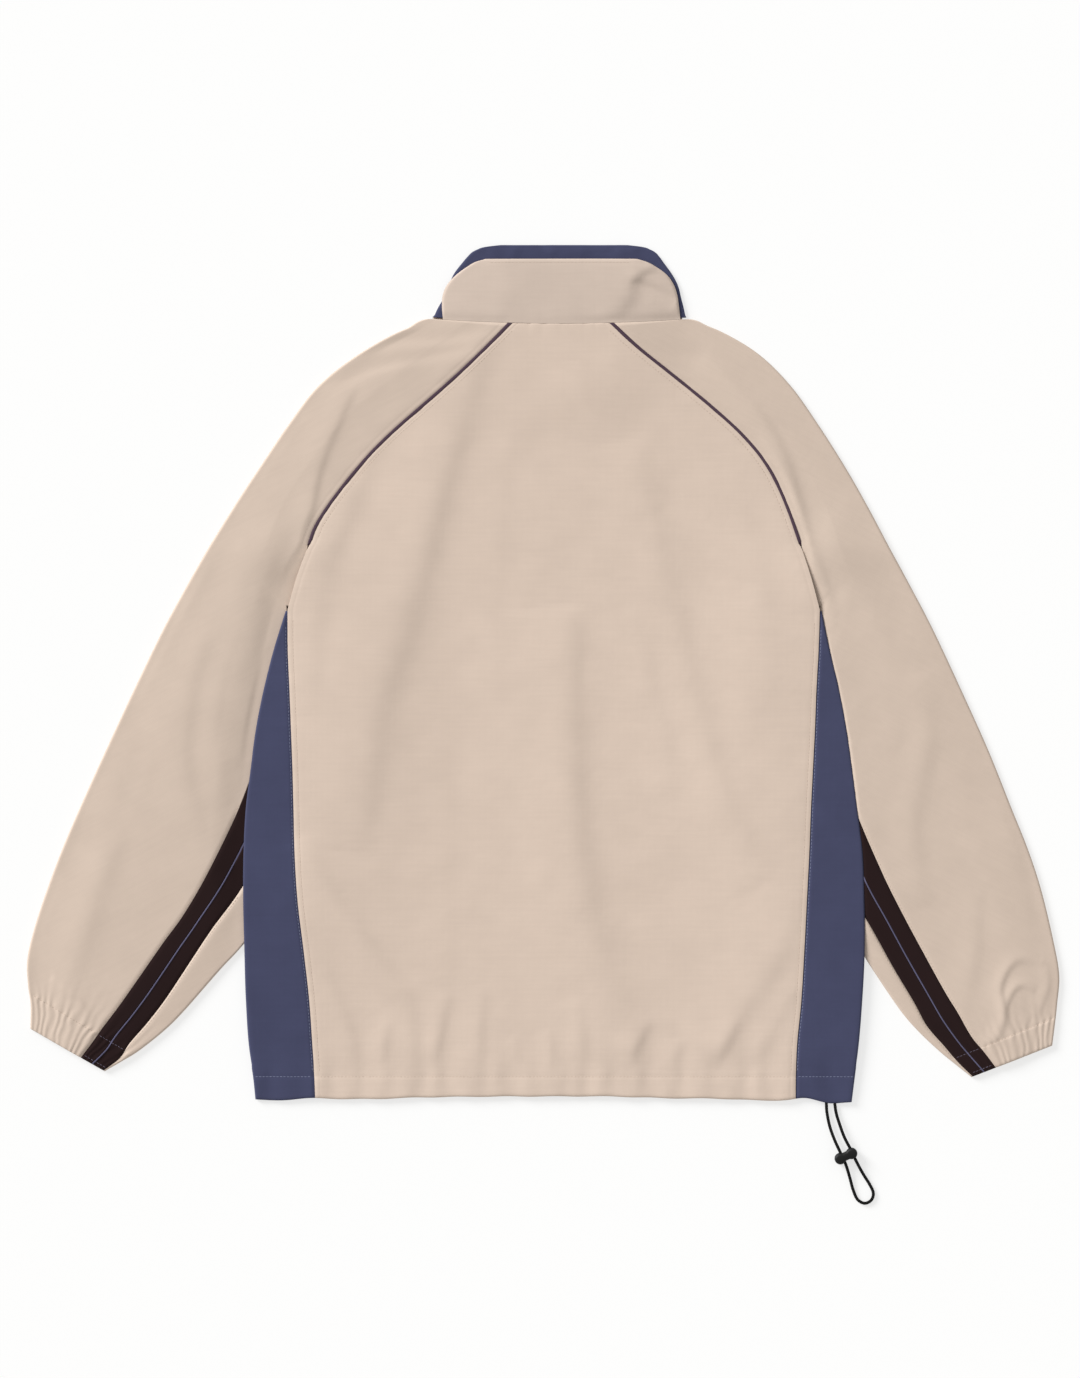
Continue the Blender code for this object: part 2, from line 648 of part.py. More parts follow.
def front_panel(side):
    rows = []
    shares = np.linspace(0, 1, FRONT_COLUMNS + 1)
    drop_from = UNDERARM_Y + 60
    levels = [HEM_LEVEL, HEM_STITCH_Y] + BODY_LEVELS + [front_level(y) for y in RAGLAN_LEVELS]
    neck_x, neckline = front_neckline(shares, side)
    for y in levels:
        start = front_side_x(y, side)
        end = float(middle_x(y)) + OUTWARD[side] * ZIP_GAP / 2
        x = start + (end - start) * shares
        at_y = hem_y(x) + 1.5 if y == HEM_LEVEL else np.full(len(x), y)
        if y > drop_from:
            part = (y - drop_from) / (NECKLINE_SIDE_Y - drop_from)
            at_y = y + (neckline - NECKLINE_SIDE_Y - SEAM) * part
            x = x + (neck_x - x) * part**4 * (shares > 0)
        under = front_under(x, at_y)
        rows.append(row_of(x, at_y, under, under + CLOTH))
    wall("front_panel_" + side, [rows], BEIGE)


# ---------------------------------------------------------------- sleeves

UNDERARM = len(ARM_LEFT) - 1        # the station where the sleeve's inner fold ends
LAST_STATION = UNDERARM + len(RAGLAN_LEVELS) - 1


def station_ends(side, station, front):
    """The two ends of the line across the sleeve at a station. Past the underarm, stations
    go up the raglan seam row by row to the neck."""
    if station <= UNDERARM:
        row = arm_values(side, station)
        return np.array([row.outer_x, row.outer_y]), np.array([row.inner_x, row.inner_y])
    level = RAGLAN_LEVELS[int(station) - UNDERARM]
    share = (level - UNDERARM_Y) / (RAGLAN_LEVELS[-1] - UNDERARM_Y)
    keys = column(SHOULDER, "share")
    outer = [float(smooth_curve(keys, column(SHOULDER, side + axis), share)) for axis in ("_x", "_y")]
    away = (PIPING_WIDTH / 2 + SEAM) * ease((level - PIPING_END_Y + 6) / 6)
    if front:
        level, away = front_level(level), 0.0
    inner = [float(sleeve_seam_x(level, side, away)), level]
    if share == 1:
        outer[1] = float(neck_y(outer[0])) - SEAM
    return np.array(outer), np.array(inner)


def arm_values(side, station):
    """The arm table's columns at a station that may lie between two rows."""
    rows = ARMS[side]
    values = smooth_curve(np.arange(len(rows)), np.array(rows), np.array([station]))[0]
    return Arm(*values)


def stripe_ends(side, station):
    """The stripe's edges as shares of the station's line. It ends at the underarm."""
    if station > UNDERARM:
        return 1.0, 1.0
    row = arm_values(side, station)
    return row.stripe_out, row.stripe_in


def body_outline(side):
    """The edge of the body that lies on the sleeve, from the top of the rolled edge to the hem."""
    levels = np.linspace(PIPING_END_Y, UNDERARM_Y, 8)
    upper = np.stack([raglan_x(levels, side), levels], axis=1)
    levels = np.linspace(UNDERARM_Y - 5, BODY[0].y, 40)
    return np.vstack([upper, np.stack([fold_x(levels, side), levels], axis=1)])


BODY_OUTLINE = {side: body_outline(side) for side in ARMS}
RAGLAN_LINE = {
    side: np.stack([raglan_x(RAGLAN_LEVELS, side), RAGLAN_LEVELS], axis=1) for side in ARMS
}


def sleeve_gap(side, x, y, depth):
    """Free height inside the sleeve, from the depth to its nearer folded edge and the body."""
    x, y = np.asarray(x, float), np.asarray(y, float)
    away, _ = distance_to_line(x, y, BODY_OUTLINE[side])
    edge_x = np.interp(y, BODY_OUTLINE[side][::-1, 1], BODY_OUTLINE[side][::-1, 0])
    under = (OUTWARD[side] * (x - edge_x) < 0) & (y < PIPING_END_Y)
    away = np.where(under, 0.0, away)
    free = SLEEVE_GAP_EDGE + (SLEEVE_GAP_BELLY - SLEEVE_GAP_EDGE) * ease((depth - 3) / 45)
    near_seam, _ = distance_to_line(x, y, RAGLAN_LINE[side])
    seamed = ease((y - 125) / 35) * (1 - ease(near_seam / 40))
    free = free + (BODY_GAP_MIDDLE - free) * seamed
    pressed = (1 - ease((away - 5.0) / 38)) * (1 - ease((y - 122) / 25))
    return free + (SLEEVE_GAP_HIDDEN - free) * pressed


def gather(side, station, depth):
    """The elastic cuff's gathers: every second point of a cuff row is raised. They flatten
    out at the folded edges and fade above the casing."""
    raised = np.arange(len(depth)) % 2
    reach = math.exp(-max(station - CUFF_STATION[side], 0) / GATHER_FADE)
    return GATHER_HEIGHT * raised * reach * ease((depth - EDGE_RADIUS) / 3)


def sleeve_points(side, station, share, on_top):
    """Outer and inner points of the sleeve's wall at shares across a station, on its top or
    its under layer. At the folded edges both layers turn into each other, and past the
    underarm the inner edge is open."""
    share = np.asarray(share, float)
    ends = station_ends(side, station, front=not on_top)
    across = ends[1] - ends[0]
    width = np.linalg.norm(across)
    plan = ends[0] + across * share[:, None]
    if on_top and station == LAST_STATION:
        plan[:, 1] = neck_y(plan[:, 0]) - SEAM
    x, y = plan[:, 0], plan[:, 1]
    near_outer = share < 0.5
    depth = np.minimum(share, 1 - share) * width
    gap = sleeve_gap(side, x, y, depth)
    edge_gap = [float(sleeve_gap(side, end[0], end[1], 0.0)) for end in ends]
    radius = CLOTH + np.where(near_outer, edge_gap[0], edge_gap[1]) / 2
    cosine, sine = folded_edge(depth, radius)
    if station > UNDERARM:
        cosine, sine = np.where(near_outer, cosine, 0.0), np.where(near_outer, sine, 1.0)
    inward = np.where(near_outer, 1.0, -1.0)[:, None] * across / width
    inside_plan = plan + inward * (CLOTH * cosine)[:, None]
    if on_top:
        folds = fold_height(x, y, SLEEVE_FOLDS) * ease(depth / 12)
        folds = folds * ease((gap - SLEEVE_GAP_HIDDEN - 0.2) / 0.6)
        casing = CASING_RISE * ease((CUFF_STATION[side] + 0.15 - station) / 0.15)
        full = 2 * CLOTH + gap + folds + casing
        low = np.clip(full - CLOTH, CLOTH + 0.35, CLOTH + MAX_GAP)
        height = radius + (full - radius) * sine
        inside = radius + (low - radius) * sine
    else:
        height = radius - radius * sine
        inside = radius - (radius - CLOTH) * sine
    return np.column_stack([plan, height]), np.column_stack([inside_plan, inside]), gap


def doubled(points):
    """The row with a point added midway between each pair."""
    row = np.empty((2 * len(points) - 1,) + points.shape[1:])
    row[0::2], row[1::2] = points, (points[:-1] + points[1:]) / 2
    return row


def sleeve_row(side, station, columns, proud=0.0):
    """Outer and inner points of one row, for columns of (share, on top). Rows of the cuff
    have twice the points and carry its gathers."""
    share = np.array([pair[0] for pair in columns])
    on_top = np.array([float(pair[1]) for pair in columns])
    top = sleeve_points(side, station, share, True)
    under = sleeve_points(side, station, share, False)
    outer = np.where(on_top[:, None] > 0, top[0], under[0])
    inner = np.where(on_top[:, None] > 0, top[1], under[1])
    outer[:, 2] += proud * ease((top[2] - SLEEVE_GAP_HIDDEN - 0.1) / 0.6)
    if station not in CUFF_ROWS:
        return outer, inner
    outer, inner, share, on_top = (doubled(part) for part in (outer, inner, share, on_top))
    depth = np.minimum(share, 1 - share) * sleeve_width(side, station)
    outer[:, 2] += gather(side, station, depth) * (on_top > 0.9)
    return outer, inner


def sleeve_width(side, station):
    ends = station_ends(side, station, front=False)
    return float(np.linalg.norm(ends[1] - ends[0]))


SLIVER_PARTS = [1.0, 0.4, 0.1, 0.0]         # from the stripe to the inner fold
FOLD_RADII = [0.3, 1.0]                     # round a folded edge
UNDER_SHARES = [0.88, 0.64, 0.38, 0.14]
EDGE_RADIUS = 2.2

# Spans across the sleeve's top. Each has one gather in the cuff, so both stripe bands, the
# piping and the main cloth make CUFF_GATHERS together.
STRIPE_SPANS = 2
PIPING_SPANS = 1
TOP_SPANS = CUFF_GATHERS - 2 * STRIPE_SPANS - PIPING_SPANS


def sleeve(side):
    """One piece from the stripe's outer edge over the top, round the outer fold and under to
    the inner fold or the raglan seam, and on to the stripe's inner edge."""
    stations = CUFF_ROWS + ARM_ROWS + list(range(UNDERARM + 1, LAST_STATION + 1))
    main, sliver = [], []
    for station in stations:
        width = sleeve_width(side, station)
        radius, half_seam = EDGE_RADIUS / width, SEAM / 2 / width
        stripe_out, stripe_in = stripe_ends(side, station)
        end = stripe_out - half_seam if station <= UNDERARM else 1.0
        columns = [(1.0, False)] + [(1 - part * radius, False) for part in FOLD_RADII]
        columns += [(share, False) for share in UNDER_SHARES]
        columns += [(part * radius, False) for part in reversed(FOLD_RADII)] + [(0.0, False)]
        columns += [(part * radius, True) for part in FOLD_RADII]
        start = 2.5 * radius
        columns += [(start + (end - start) * i / TOP_SPANS, True) for i in range(TOP_SPANS + 1)]
        main.append(sleeve_row(side, station, columns))
        if station <= UNDERARM:
            reach = 1 - stripe_in - half_seam
            columns = [(1 - part * reach, part > 0) for part in SLIVER_PARTS]
            sliver.append(sleeve_row(side, station, columns))
    wall("sleeve_" + side, [main, sliver], BEIGE)


def strip(name, side, start, end, spans, proud, colour):
    """A strip of the sleeve's top between two parts of the stripe, 0 at its outer edge and 1
    at its inner edge, each with a margin in millimetres."""
    rows = []
    for station in CUFF_ROWS + ARM_ROWS:
        width = sleeve_width(side, station)
        first, last = stripe_ends(side, station)
        edges = [first + (last - first) * part + margin / width for part, margin in (start, end)]
        squeezed = min(1.0, (last - first) * width / 14)
        middle = sum(edges) / 2
        if station > UNDERARM - 2:
            edges = [middle + (edge - middle) * squeezed for edge in edges]
        pairs = [(share, True) for share in np.linspace(edges[0], edges[1], spans + 1)]
        rows.append(sleeve_row(side, station, pairs, proud))
    wall(name, [rows], colour)


def stripe(side):
    half_gap = STRIPE_PIPING_WIDTH / 2 + SEAM
    half_piping = STRIPE_PIPING_WIDTH / 2
    edge = SEAM / 2
    strip("stripe_outer_" + side, side, (0.0, edge), (0.5, -half_gap), STRIPE_SPANS, 0.0, STRIPE)
    strip("stripe_inner_" + side, side, (0.5, half_gap), (1.0, -edge), STRIPE_SPANS, 0.0, STRIPE)
    strip(
        "stripe_piping_" + side, side, (0.5, -half_piping), (0.5, half_piping), PIPING_SPANS,
        STRIPE_PIPING_PROUD, STRIPE_PIPING,
    )


def raglan_piping(side):
    """A thin strip that stands proud in the raglan seam's gap, from the rolled edge to the neck."""
    rows = []
    for level in RAGLAN_LEVELS[RAGLAN_LEVELS >= PIPING_END_Y]:
        x = np.array([float(raglan_x(level, side, part * PIPING_WIDTH / 2)) for part in (-1.0, 0.0, 1.0)])
        y = neck_y(x) - SEAM if level == RAGLAN_LEVELS[-1] else np.full(3, level)
        beside = raglan_x(level, side, -PIPING_WIDTH)
        height = float(back_top(beside, level))
        outer_z = height + np.array([0.15, PIPING_PROUD, 0.15])
        rows.append(row_of(x, y, outer_z, np.full(3, height - CLOTH)))
    wall("raglan_piping_" + side, [rows], PIPING)


# ---------------------------------------------------------------- collar

COLLAR_COLUMNS = 14


COLLAR_BASE = 2 * CLOTH + 1.0       # underside of the collar's back at its edges
COLLAR_RISE = 0.35                  # and how much higher its middle is


def collar_height(x, y, edge):
    """Underside of the collar's back: highest at the middle, lower at the ends of each row."""
    return COLLAR_BASE + slider_lift(x, y) + COLLAR_RISE * ease(edge / 30)


def collar_back():
    rows = []
    levels = [321.0, 327.0, 335.0, 344.5, 355.6, 366.6, 373.0, 377.6, COLLAR_BACK_TOP]
    for level in levels:
        left = float(smooth_curve(column(COLLAR, "y"), column(COLLAR, "back_left"), level))
        right = float(smooth_curve(column(COLLAR, "y"), column(COLLAR, "back_right"), level))
        x = left + (right - left) * np.linspace(0, 1, COLLAR_COLUMNS + 1)
        above_neck = (level - levels[0]) / (COLLAR_BACK_TOP - levels[0])
        y = level + (neck_y(x) - NECK_Y) * (1 - above_neck)
        edge = np.minimum(x - left, right - x)
        low = collar_height(x, y, edge)
        top = low + CLOTH + fold_height(x, y, COLLAR_FOLDS) * ease(edge / 3)
        rows.append(row_of(x, y, np.maximum(top, low + 0.8), low))
    wall("collar_back", [rows], BEIGE)


def collar_facing():
    """The contrast lining of the collar, which shows above the outer cloth."""
    rows = []
    for level in [322.5] + [row.y for row in COLLAR[1:]]:
        left = float(smooth_curve(column(COLLAR, "y"), column(COLLAR, "facing_left"), level))
        right = float(smooth_curve(column(COLLAR, "y"), column(COLLAR, "facing_right"), level))
        x = left + (right - left) * np.linspace(0, 1, COLLAR_COLUMNS + 1)
        dip = np.clip((x - NECK_MIDDLE_X) / 70, -1, 1)
        bottom = neck_y(x) + 1.5 + (FACING_BOTTOM - NECK_Y) * (1 - dip**2)
        y = np.maximum(level, bottom + (level - 322.5) * 0.35)
        low = CLOTH + 0.5 + slider_lift(x, y) * 0.8
        rows.append(row_of(x, y, low + CLOTH, low))
    wall("collar_facing", [rows], BLUE)


def collar_front(side):
    """The zipped half of the collar's outer cloth, which lies on the surface."""
    out = OUTWARD[side]
    shares = np.linspace(0, 1, 9)
    top_x = getattr(SHOULDER[-1], side + "_x") - out * 2.5
    seam_top = np.array([top_x, float(neck_y(top_x)) + SEAM])
    zip_x = NECK_MIDDLE_X + out * ZIP_GAP / 2
    raglan_shares = shares[:7] / shares[6]
    low = np.stack(front_neckline(1 - raglan_shares, side), axis=1)
    low = np.vstack([low, np.linspace(low[-1], seam_top, 3)[1:]])
    side_x = float(smooth_curve(column(COLLAR, "y"), column(COLLAR, "facing_" + side), COLLAR_SIDE_TOP))
    high_x = zip_x + (side_x - out * 4.0 - zip_x) * shares
    high_y = FRONT_COLLAR_TOP + (COLLAR_SIDE_TOP - FRONT_COLLAR_TOP) * shares**2
    high = np.stack([high_x, high_y], axis=1)
    rows = []
    for part in (0.0, 0.2, 0.45, 0.7, 1.0):
        plan = low + (high - low) * part
        plan[:, 1] += SEAM * (1 - part)
        under = front_under(plan[:, 0], plan[:, 1])
        rows.append(row_of(plan[:, 0], plan[:, 1], under, under + CLOTH))
    wall("collar_front_" + side, [rows], BEIGE)


# ---------------------------------------------------------------- zip

def zip_chain():
    """Tape and closed chain in one strip, from the hem to the slider."""
    half_tape, half_chain = TAPE_WIDTH / 2, CHAIN_WIDTH / 2
    offsets = np.array([-half_tape, -half_chain - 0.6, -half_chain, half_chain, half_chain + 0.6, half_tape])
    drop = np.array([0.0, 0.0, 1.0, 1.0, 0.0, 0.0]) * (CHAIN_THICKNESS - TAPE_THICKNESS)
    levels = [ZIP_BOTTOM_Y, -300, -220, -140, -60, 20, 100, 180, 240, 262, 280, 296, 308, 320, ZIP_TOP_Y]
    rows = []
    for y in levels:
        x = float(middle_x(y)) + offsets
        level = np.full(len(x), float(y))
        top = front_under(middle_x(y), y) + CLOTH + SEAM + TAPE_THICKNESS
        rows.append(row_of(x, level, np.full(len(x), top), top - TAPE_THICKNESS - drop))
    wall("zip", [rows], BLACK, 0.6)


def box(bm, low, high):
    """An axis-aligned block between two corners, in millimetres."""
    size = np.array(high) - np.array(low)
    made = bmesh.ops.create_cube(bm, size=1.0)
    bmesh.ops.scale(bm, vec=size * MM, verts=made["verts"])
    bmesh.ops.translate(bm, vec=(np.array(low) + size / 2) * MM, verts=made["verts"])
    return made["verts"]


def mesh_object(name, build, colour, roughness, metallic=0.0):
    mesh = bpy.data.meshes.new(name)
    bm = bmesh.new()
    build(bm)
    bmesh.ops.recalc_face_normals(bm, faces=bm.faces)
    bm.to_mesh(mesh)
    bm.free()
    return add_object(name, mesh, colour, roughness, metallic)


def cylinder_x(bm, y, z, radius, half_length, sides=12):
    """A cylinder along X through the zip's middle."""
    made = bmesh.ops.create_cone(
        bm, cap_ends=True, segments=sides, radius1=radius * MM, radius2=radius * MM,
        depth=2 * half_length * MM, matrix=Matrix.Rotation(math.radians(90), 4, "Y"),
    )
    bmesh.ops.translate(bm, vec=np.array([NECK_MIDDLE_X, y, z]) * MM, verts=made["verts"])
    return made["verts"]


def join_with(obj, name, build, operation="UNION"):
    """Joins or cuts a helper shape, then leaves the helper out of the model."""
    helper = mesh_object(name, build, METAL, 0.4)
    helper.hide_render = True
    helper.display_type = "WIRE"
    change = obj.modifiers.new(name, "BOOLEAN")
    change.operation = operation
    change.object = helper


def zip_slider():
    x = NECK_MIDDLE_X
    half = SLIDER_WIDTH / 2
    chain_top = SLIDER_LIFT + CLOTH + SEAM + TAPE_THICKNESS
    chain_low = chain_top - CHAIN_THICKNESS
    low_plate = (chain_low - SEAM - PLATE, chain_low - SEAM)
    high_plate = (chain_top + SEAM, chain_top + SEAM + PLATE)
    top_y = SLIDER_Y + SLIDER_LENGTH
    slider = mesh_object(
        "zip_slider",
        lambda bm: box(bm, (x - half, SLIDER_Y, low_plate[0]), (x + half, top_y, low_plate[1])),
        METAL, 0.35, 1.0,
    )
    join_with(slider, "slider_back_plate", lambda bm: box(
        bm, (x - half, SLIDER_Y, high_plate[0]), (x + half, top_y, high_plate[1])))
    join_with(slider, "slider_post", lambda bm: box(
        bm, (x - 1.6, ZIP_TOP_Y + SEAM, low_plate[0] + 0.1), (x + 1.6, top_y - 0.4, high_plate[1] - 0.1)))
    for index, start in enumerate((x - half + 0.2, x + half - 1.2)):
        join_with(slider, f"slider_ear_{index}", lambda bm, start=start: box(
            bm, (start, BAR_Y - 0.9, BAR_Z - 0.9), (start + 1.0, SLIDER_Y + 1.5, low_plate[0] + 0.4)))
    join_with(slider, "slider_bar", lambda bm: cylinder_x(bm, BAR_Y, BAR_Z, BAR_RADIUS, half - 0.6))


def zip_pull():
    """The pull swings on the slider's bar: a knuckle round the bar and a flat tab."""
    x = NECK_MIDDLE_X
    knuckle_half = SLIDER_WIDTH / 2 - 1.6
    pull = mesh_object(
        "zip_pull",
        lambda bm: cylinder_x(bm, BAR_Y, BAR_Z, KNUCKLE_RADIUS, knuckle_half, 16),
        METAL, 0.35, 1.0,
    )
    join_with(pull, "pull_tab", lambda bm: box(
        bm,
        (x - PULL_WIDTH / 2, BAR_Y - PULL_LENGTH, BAR_Z - PULL_THICKNESS / 2),
        (x + PULL_WIDTH / 2, BAR_Y - KNUCKLE_RADIUS - 0.2, BAR_Z + PULL_THICKNESS / 2)))
    join_with(pull, "pull_neck", lambda bm: box(
        bm,
        (x - knuckle_half + 0.3, BAR_Y - KNUCKLE_RADIUS - 1.2, BAR_Z - PULL_THICKNESS / 2 + 0.1),
        (x + knuckle_half - 0.3, BAR_Y - 0.2, BAR_Z + PULL_THICKNESS / 2 - 0.1)))
    join_with(pull, "pull_bore", lambda bm: cylinder_x(
        bm, BAR_Y, BAR_Z, BAR_RADIUS + SEAM, knuckle_half + 1), "DIFFERENCE")


# ---------------------------------------------------------------- drawcord

def cord_points(count):
    """The drawcord's middle line, at even steps of a smooth curve through its route."""
    route = np.array(CORD_ROUTE)
    dense = smooth_curve(np.arange(len(route)), route, np.linspace(0, len(route) - 1, 40 * len(route)))
    length = np.concatenate([[0], np.cumsum(np.linalg.norm(np.diff(dense, axis=0), axis=1))])
    at = np.linspace(0, length[-1], count)
    return np.stack([np.interp(at, length, dense[:, axis]) for axis in range(3)], axis=1)


def tube(name, points, radius, colour):
    curve = bpy.data.curves.new(name, "CURVE")
    curve.dimensions = "3D"
    curve.bevel_depth = radius * MM
    curve.bevel_resolution = 2
    curve.use_fill_caps = True
    spline = curve.splines.new("POLY")
    spline.points.add(len(points) - 1)
    for point, place in zip(spline.points, points):
        point.co = (*(place * MM), 1.0)
    curve.materials.append(material(name, colour, 0.7))
    obj = bpy.data.objects.new(name, curve)
    bpy.context.collection.objects.link(obj)
    obj.parent = ROOT
    return obj


def cord_lock():
    """A flat barrel with two round ends and a waist, bored for both strands."""
    tilt = math.radians(LOCK_TILT)
    centre = np.array(LOCK_CENTRE)
    outline = []
    reach = LOCK_LENGTH / 2 - LOCK_LOBE
    for end in (1, -1):
        for angle in np.radians(np.linspace(-75, 75, 7)):
            outline.append((end * (reach + LOCK_LOBE * math.cos(angle)), end * LOCK_LOBE * math.sin(angle)))
        outline.append((0.0, end * LOCK_WAIST))
    levels = [(-0.5, 0.86), (-0.36, 1.0), (0.36, 1.0), (0.5, 0.86)]

    def build(bm):
        rings = []
        for height, size in levels:
            ring = []
            for u, v in outline:
                x = size * (u * math.cos(tilt) - v * math.sin(tilt))
                y = size * (u * math.sin(tilt) + v * math.cos(tilt))
                place = centre + np.array([x, y, height * LOCK_THICKNESS])
                ring.append(bm.verts.new(place * MM))
            rings.append(ring)
        for low, high in zip(rings, rings[1:]):
            for i in range(len(low)):
                j = (i + 1) % len(low)
                bm.faces.new((low[i], low[j], high[j], high[i]))
        bm.faces.new(reversed(rings[0]))
        bm.faces.new(rings[-1])

    lock = mesh_object("cord_lock", build, BLACK, 0.4)
    for index, strand in enumerate(np.split(cord_points(160), 2)):
        inside = strand[np.abs(strand[:, 1] - LOCK_CENTRE[1]) < 14]
        bore = tube(f"lock_bore_{index}", inside, CORD_DIAMETER / 2 + LOCK_CLEARANCE, BLACK)
        shape = bpy.data.meshes.new_from_object(
            bore.evaluated_get(bpy.context.evaluated_depsgraph_get())
        )
        bpy.data.objects.remove(bore)
        cutter = bpy.data.objects.new(f"lock_bore_{index}", shape)
        bpy.context.collection.objects.link(cutter)
        cutter.parent = ROOT
        cutter.hide_render = True
        cutter.display_type = "WIRE"
        weld = cutter.modifiers.new("weld", "WELD")
        weld.merge_threshold = 0.000001
        cut = lock.modifiers.new(f"bore_{index}", "BOOLEAN")
        cut.operation = "DIFFERENCE"
        cut.object = cutter


def build_jacket():
    global ROOT
    for obj in list(bpy.data.objects):
        bpy.data.objects.remove(obj, do_unlink=True)
    ROOT = bpy.data.objects.new("jacket", None)
    ROOT.location = (CENTRE_SHIFT[0] * MM, CENTRE_SHIFT[1] * MM, 0)
    bpy.context.collection.objects.link(ROOT)
    back_panel()
    for side in ("left", "right"):
        side_panel(side)
        front_panel(side)
        sleeve(side)
        stripe(side)
        raglan_piping(side)
        collar_front(side)
    collar_back()
    collar_facing()
    zip_chain()
    zip_slider()
    zip_pull()
    tube("drawcord", cord_points(CORD_POINTS), CORD_DIAMETER / 2, BLACK)
    cord_lock()


build_jacket()
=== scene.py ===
"""The looks of a track jacket that lies flat on its front, back up.

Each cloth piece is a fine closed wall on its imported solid's form, with creases, gathers, rolled
seams and stitches. Lengths are in millimetres; MM turns them into metres where a mesh is made.
"""

import math

import bpy
import numpy as np
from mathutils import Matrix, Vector
from mathutils.bvhtree import BVHTree


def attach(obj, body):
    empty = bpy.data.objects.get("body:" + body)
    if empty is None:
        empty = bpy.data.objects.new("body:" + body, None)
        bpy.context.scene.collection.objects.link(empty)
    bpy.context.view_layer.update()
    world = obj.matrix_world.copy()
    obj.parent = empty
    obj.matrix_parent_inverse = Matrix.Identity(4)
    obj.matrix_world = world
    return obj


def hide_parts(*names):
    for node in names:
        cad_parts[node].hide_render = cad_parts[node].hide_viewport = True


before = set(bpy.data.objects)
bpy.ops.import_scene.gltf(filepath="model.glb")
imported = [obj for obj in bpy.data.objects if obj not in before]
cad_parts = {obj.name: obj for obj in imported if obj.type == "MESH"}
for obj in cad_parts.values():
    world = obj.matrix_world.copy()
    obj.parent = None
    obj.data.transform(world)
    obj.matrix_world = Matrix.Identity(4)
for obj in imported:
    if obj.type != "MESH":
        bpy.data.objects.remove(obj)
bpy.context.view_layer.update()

MM = 0.001
SHIFT = np.array([-0.19, 1.15, 0.0])    # from the tables' origin to the frame's
OUTWARD = {"left": -1.0, "right": 1.0}
STEP = 3.6                              # between the rows of a fine wall

CLOTH = 1.4                             # a wall's thickness
SEAM = 0.08                             # free space in a seam
PIPING_WIDTH = 2.7
STRIPE_PIPING_WIDTH = 1.5
ZIP_GAP = 10.0
SLEEVE_GAP_HIDDEN, SLEEVE_GAP_EDGE, SLEEVE_GAP_BELLY = 0.5, 1.5, 3.3
BODY_GAP_EDGE, BODY_GAP_MIDDLE = 1.2, 2.4
LAYER = 0.4
LIFT = 2 * CLOTH + SLEEVE_GAP_HIDDEN + LAYER    # of the front, where a sleeve lies under it
LIFT_RAMP, BACK_RAMP = 50.0, 125.0              # how far the lift fades out, and on the back
SLIDER_LIFT, SLIDER_LIFT_Y, SLIDER_LIFT_REACH = 2.8, 316.0, (50.0, 55.0)
BACK_SPREAD = 2.3                               # how much wider the slider lifts the back

HEM_DEPTH = 22.0
HEM_STITCH_Y = -371.5
HEM_LEVEL = -391.0
BODY_BOTTOM = -396.0
UNDERARM_Y = 57.5
PIPING_END_Y = 119.0        # below this the body rolls over the sleeve and hides the piping
TUCK = 5.0                  # how far the hidden seam lies inside the rolled edge
NECK_Y = 320.5
RAGLAN_TOP = NECK_Y - 0.3
NECK_MIDDLE_X, HEM_MIDDLE_X = 16.5, 9.5
NECKLINE_SIDE_Y = 283.0     # where the front's neckline starts at the raglan seam
FRONT_NECK_Y = 264.0        # neck seam at the zip
FRONT_COLLAR_TOP = 336.0    # collar edge at the zip
COLLAR_SIDE_TOP = 366.0     # where the front's edge meets the back's at the side
COLLAR_BACK_TOP = 380.0
FACING_LOW, FACING_TOP = 322.5, 393.4
FACING_BOTTOM = 339.0       # its hidden lower edge
CUFF_STATION = {"left": 1.6, "right": 1.25}     # where the cuff's casing is stitched
CUFF_GATHERS = 14.7         # across one side of a cuff


def table(names, *rows):
    """The columns of a table, by name."""
    return dict(zip(names.split(), np.array(rows, float).T))


# The laid body, from hem to underarm: folded side edges and the seams of the side panels
BODY = table(
    "at fold_left seam_left seam_right fold_right",
    (-396, -264, -209.2, 232.3, 283.2), (-368, -266.8, -210.2, 232.4, 287),
    (-347, -270, -211.6, 233.2, 289.8), (-301, -273.2, -214.8, 237.4, 293.5),
    (-255, -274.4, -219.9, 240.1, 295.6), (-209, -275.5, -225.4, 242.4, 295.3),
    (-163, -275.1, -228.2, 244.7, 293.5), (-126, -273.2, -229.1, 246.1, 288.9),
    (-90, -268.8, -230, 247.9, 284.4), (-53, -264, -231.4, 249.8, 279.2),
    (-16, -256.7, -232.8, 251.2, 272.3), (21, -247.4, -234.4, 253.2, 263.6),
    (57.5, -236.2, -234.6, 254.3, 255.8),
)

# How far the side panels reach round onto the hidden front
FRONT_SEAM = table("at width", (-396, 52), (-200, 48), (-90, 40), (-16, 28), (57.5, 6))

# The raglan seam as it shows on the back, from underarm to neck
RAGLAN = table(
    "at left right",
    (57.5, -234.6, 254.3), (89.7, -225.4, 245.6), (119.1, -214.4, 236), (131.1, -210.2, 232),
    (149.5, -199.4, 225.4), (167.9, -186, 217.8), (186.3, -171.2, 208.4), (204.7, -154.8, 195.4),
    (223.1, -135.8, 178.4), (241.5, -114.8, 158), (259.9, -93.6, 136), (278.3, -73.2, 112.8),
    (296.7, -54, 89.6), (320.5, -30, 63),
)

